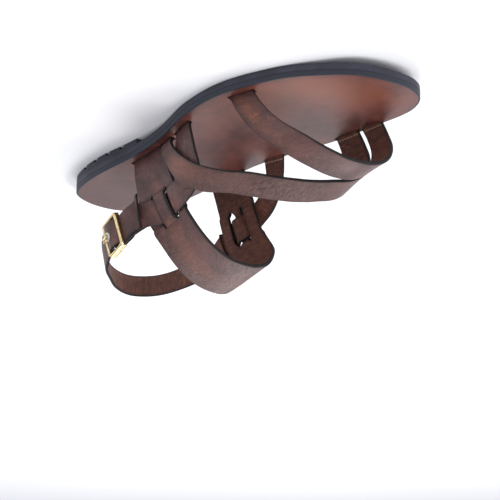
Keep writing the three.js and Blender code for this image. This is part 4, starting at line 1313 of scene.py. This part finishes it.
# %% Eyelet and prong
eyelet_bore = prong_radius + clearance
eyelet_barrel = eyelet_bore + eyelet_wall
strap_outer = over_fold + heel_strap_thickness
flange_low = strap_outer + 0.1
flange_high = strap_outer + 1.6 * clearance + eyelet_thickness
eyelet_low = over_fold + clearance
rolled = [(eyelet_bore, eyelet_low), (eyelet_barrel, eyelet_low), (eyelet_barrel, flange_low)]
flange_middle = (eyelet_outer + eyelet_bore) / 2
flange_reach, flange_rise = (eyelet_outer - eyelet_bore) / 2, flange_high - flange_low
for angle in np.radians(np.linspace(0, 180, 13)):
    rolled.append((flange_middle + flange_reach * math.cos(angle), flange_low + flange_rise * math.sin(angle)))
spokes = 48
turnings = np.arange(spokes) * 2 * math.pi / spokes
middle = buckle_spot(prong_at, 0)
points = np.array([
    middle + r * (heading * math.cos(a) + upward * math.sin(a)) + outward * z for r, z in rolled for a in turnings
])
faces = facing_out(points - middle, tube_faces(len(rolled), spokes, closed=True)).tolist()
eyelet = make_piece("eyelet_nickel", points, faces, nickel_finish, "eyelet", sharp=45)

prong_top = flange_high + clearance * 0.6 + prong_radius
prong_rest = buckle_bar + clearance * 0.5 + prong_radius
route = []
for k in range(9):
    angle = math.radians(120 + 30 * k)
    route.append(buckle_spot(prong_at * math.cos(angle), -centre_drop + prong_at * math.sin(angle)))
route += [buckle_spot(*at) for at in (
    (prong_at, 0.5),
    (prong_at, prong_top - 1.6),
    (prong_at + 0.9, prong_top - 0.2),
    (prong_at + 2.2, prong_top),
    (prong_at + eyelet_outer + 0.3, prong_top - 0.1),
    (half_buckle, prong_rest + 0.1),
    (half_buckle + 1.6, prong_rest - 0.1),
)]
along = np.linspace(0, 1, 120)
slim = prong_radius * np.interp(along, [0, 0.8, 0.97, 1], [1, 1, 0.8, 0.35])
points, faces = swept(path_through(route, along), False, slim, slim * 0.95, 2.0, 14, level=upward)
prong = make_piece("buckle_prong_brass", points, faces, brass_finish, "buckle_prong", sharp=60)
for piece in (buckle, eyelet, prong):
    print(piece.name, "has", len(piece.data.polygons), "faces")

# %% [markdown]
# ## Floor, light and camera
#
# The sandal stands on a pale floor in soft studio light: one large soft lamp above and to the left, a weaker
# fill from the other side and a pale surround. The camera looks down from the toe's outer side, as in the
# photograph, which shows the sandal upside down, so the camera is rolled by half a turn.

# %% Floor and light
def pale_floor():
    material, shader, wire = new_finish("pale_floor")
    where = wire.node("ShaderNodeTexCoord", output="Object")
    faint = noise(where, 3, 2, 0.5)
    wire_up(shader, wire, mixed(faint, (0.86, 0.86, 0.86, 1), (0.9, 0.9, 0.9, 1)), 0.75 + 0.1 * faint)
    return material


floor_half, floor_drop = 6, 0.0002
floor_mesh = bpy.data.meshes.new("floor")
corners = [(floor_half * x, floor_half * y, -floor_drop) for x, y in ((-1, -1), (1, -1), (1, 1), (-1, 1))]
floor_mesh.from_pydata(corners, [], [(0, 1, 2, 3)])
floor_mesh.materials.append(pale_floor())
floor = new_object("floor", floor_mesh)
floor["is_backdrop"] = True

world = bpy.data.worlds.new("studio")
world.use_nodes = True
surround = world.node_tree.nodes["Background"]
surround.inputs["Color"].default_value = (0.91, 0.92, 1.0, 1)
surround.inputs["Strength"].default_value = 0.75
bpy.context.scene.world = world


def soft_lamp(name, place, aim, size, power):
    data = bpy.data.lights.new(name, "AREA")
    data.shape, data.size, data.size_y, data.energy = "RECTANGLE", size[0], size[1], power
    lamp = new_object(name, data)
    lamp.location = place
    lamp.rotation_euler = (Vector(aim) - Vector(place)).to_track_quat("-Z", "Y").to_euler()


soft_lamp("key", (0.9, -0.5, 1.1), (0, 0, 0.03), (0.9, 0.9), 16)
soft_lamp("back", (-0.7, -0.8, 0.9), (0, 0, 0.05), (1.0, 0.6), 8)
soft_lamp("fill", (0.2, 1.3, 0.6), (0, 0, 0.04), (1.2, 0.8), 3)
print("lamps:", [light.name for light in bpy.data.lights])

# %% Camera
azimuth, elevation, roll = (math.radians(a) for a in (47.685, 21.416, 0.058))
distance, aim = 1.02205, (-125.66, -157.68, 7.17)
target = Vector([0.001 * v for v in np.array(aim) + to_frame])
focal_pixels, frame_pixels, sensor = 1223.145, 500, 36.0
level = math.cos(elevation)
back = Vector((math.cos(azimuth) * level, math.sin(azimuth) * level, math.sin(elevation)))
right = Vector((0, 0, 1)).cross(back).normalized()
up = back.cross(right)
right, up = right * math.cos(roll) + up * math.sin(roll), up * math.cos(roll) - right * math.sin(roll)
view = Matrix((-right, -up, back)).transposed().to_4x4()
view.translation = target + back * distance
camera_data = bpy.data.cameras.new("camera")
camera_data.sensor_width = sensor
camera_data.lens = focal_pixels * sensor / frame_pixels
camera = new_object("camera", camera_data)
camera.matrix_world = view
bpy.context.scene.camera = camera
bpy.context.scene.view_settings.view_transform = "Standard"
print("camera at", [round(1000 * v) for v in view.translation], "mm with a lens of", round(camera_data.lens, 1), "mm")

# %% [markdown]
# ## The two boxes
#
# The box of the solids and the box of the dressed sandal are printed, one under the other.

# %% Size and finish
low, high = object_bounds()
print("box of the solids and of the dressed sandal, mm:")
for a, b in (cad_low, cad_high), (low, high):
    print([round(1000 * v, 1) for v in (*a, *b)])
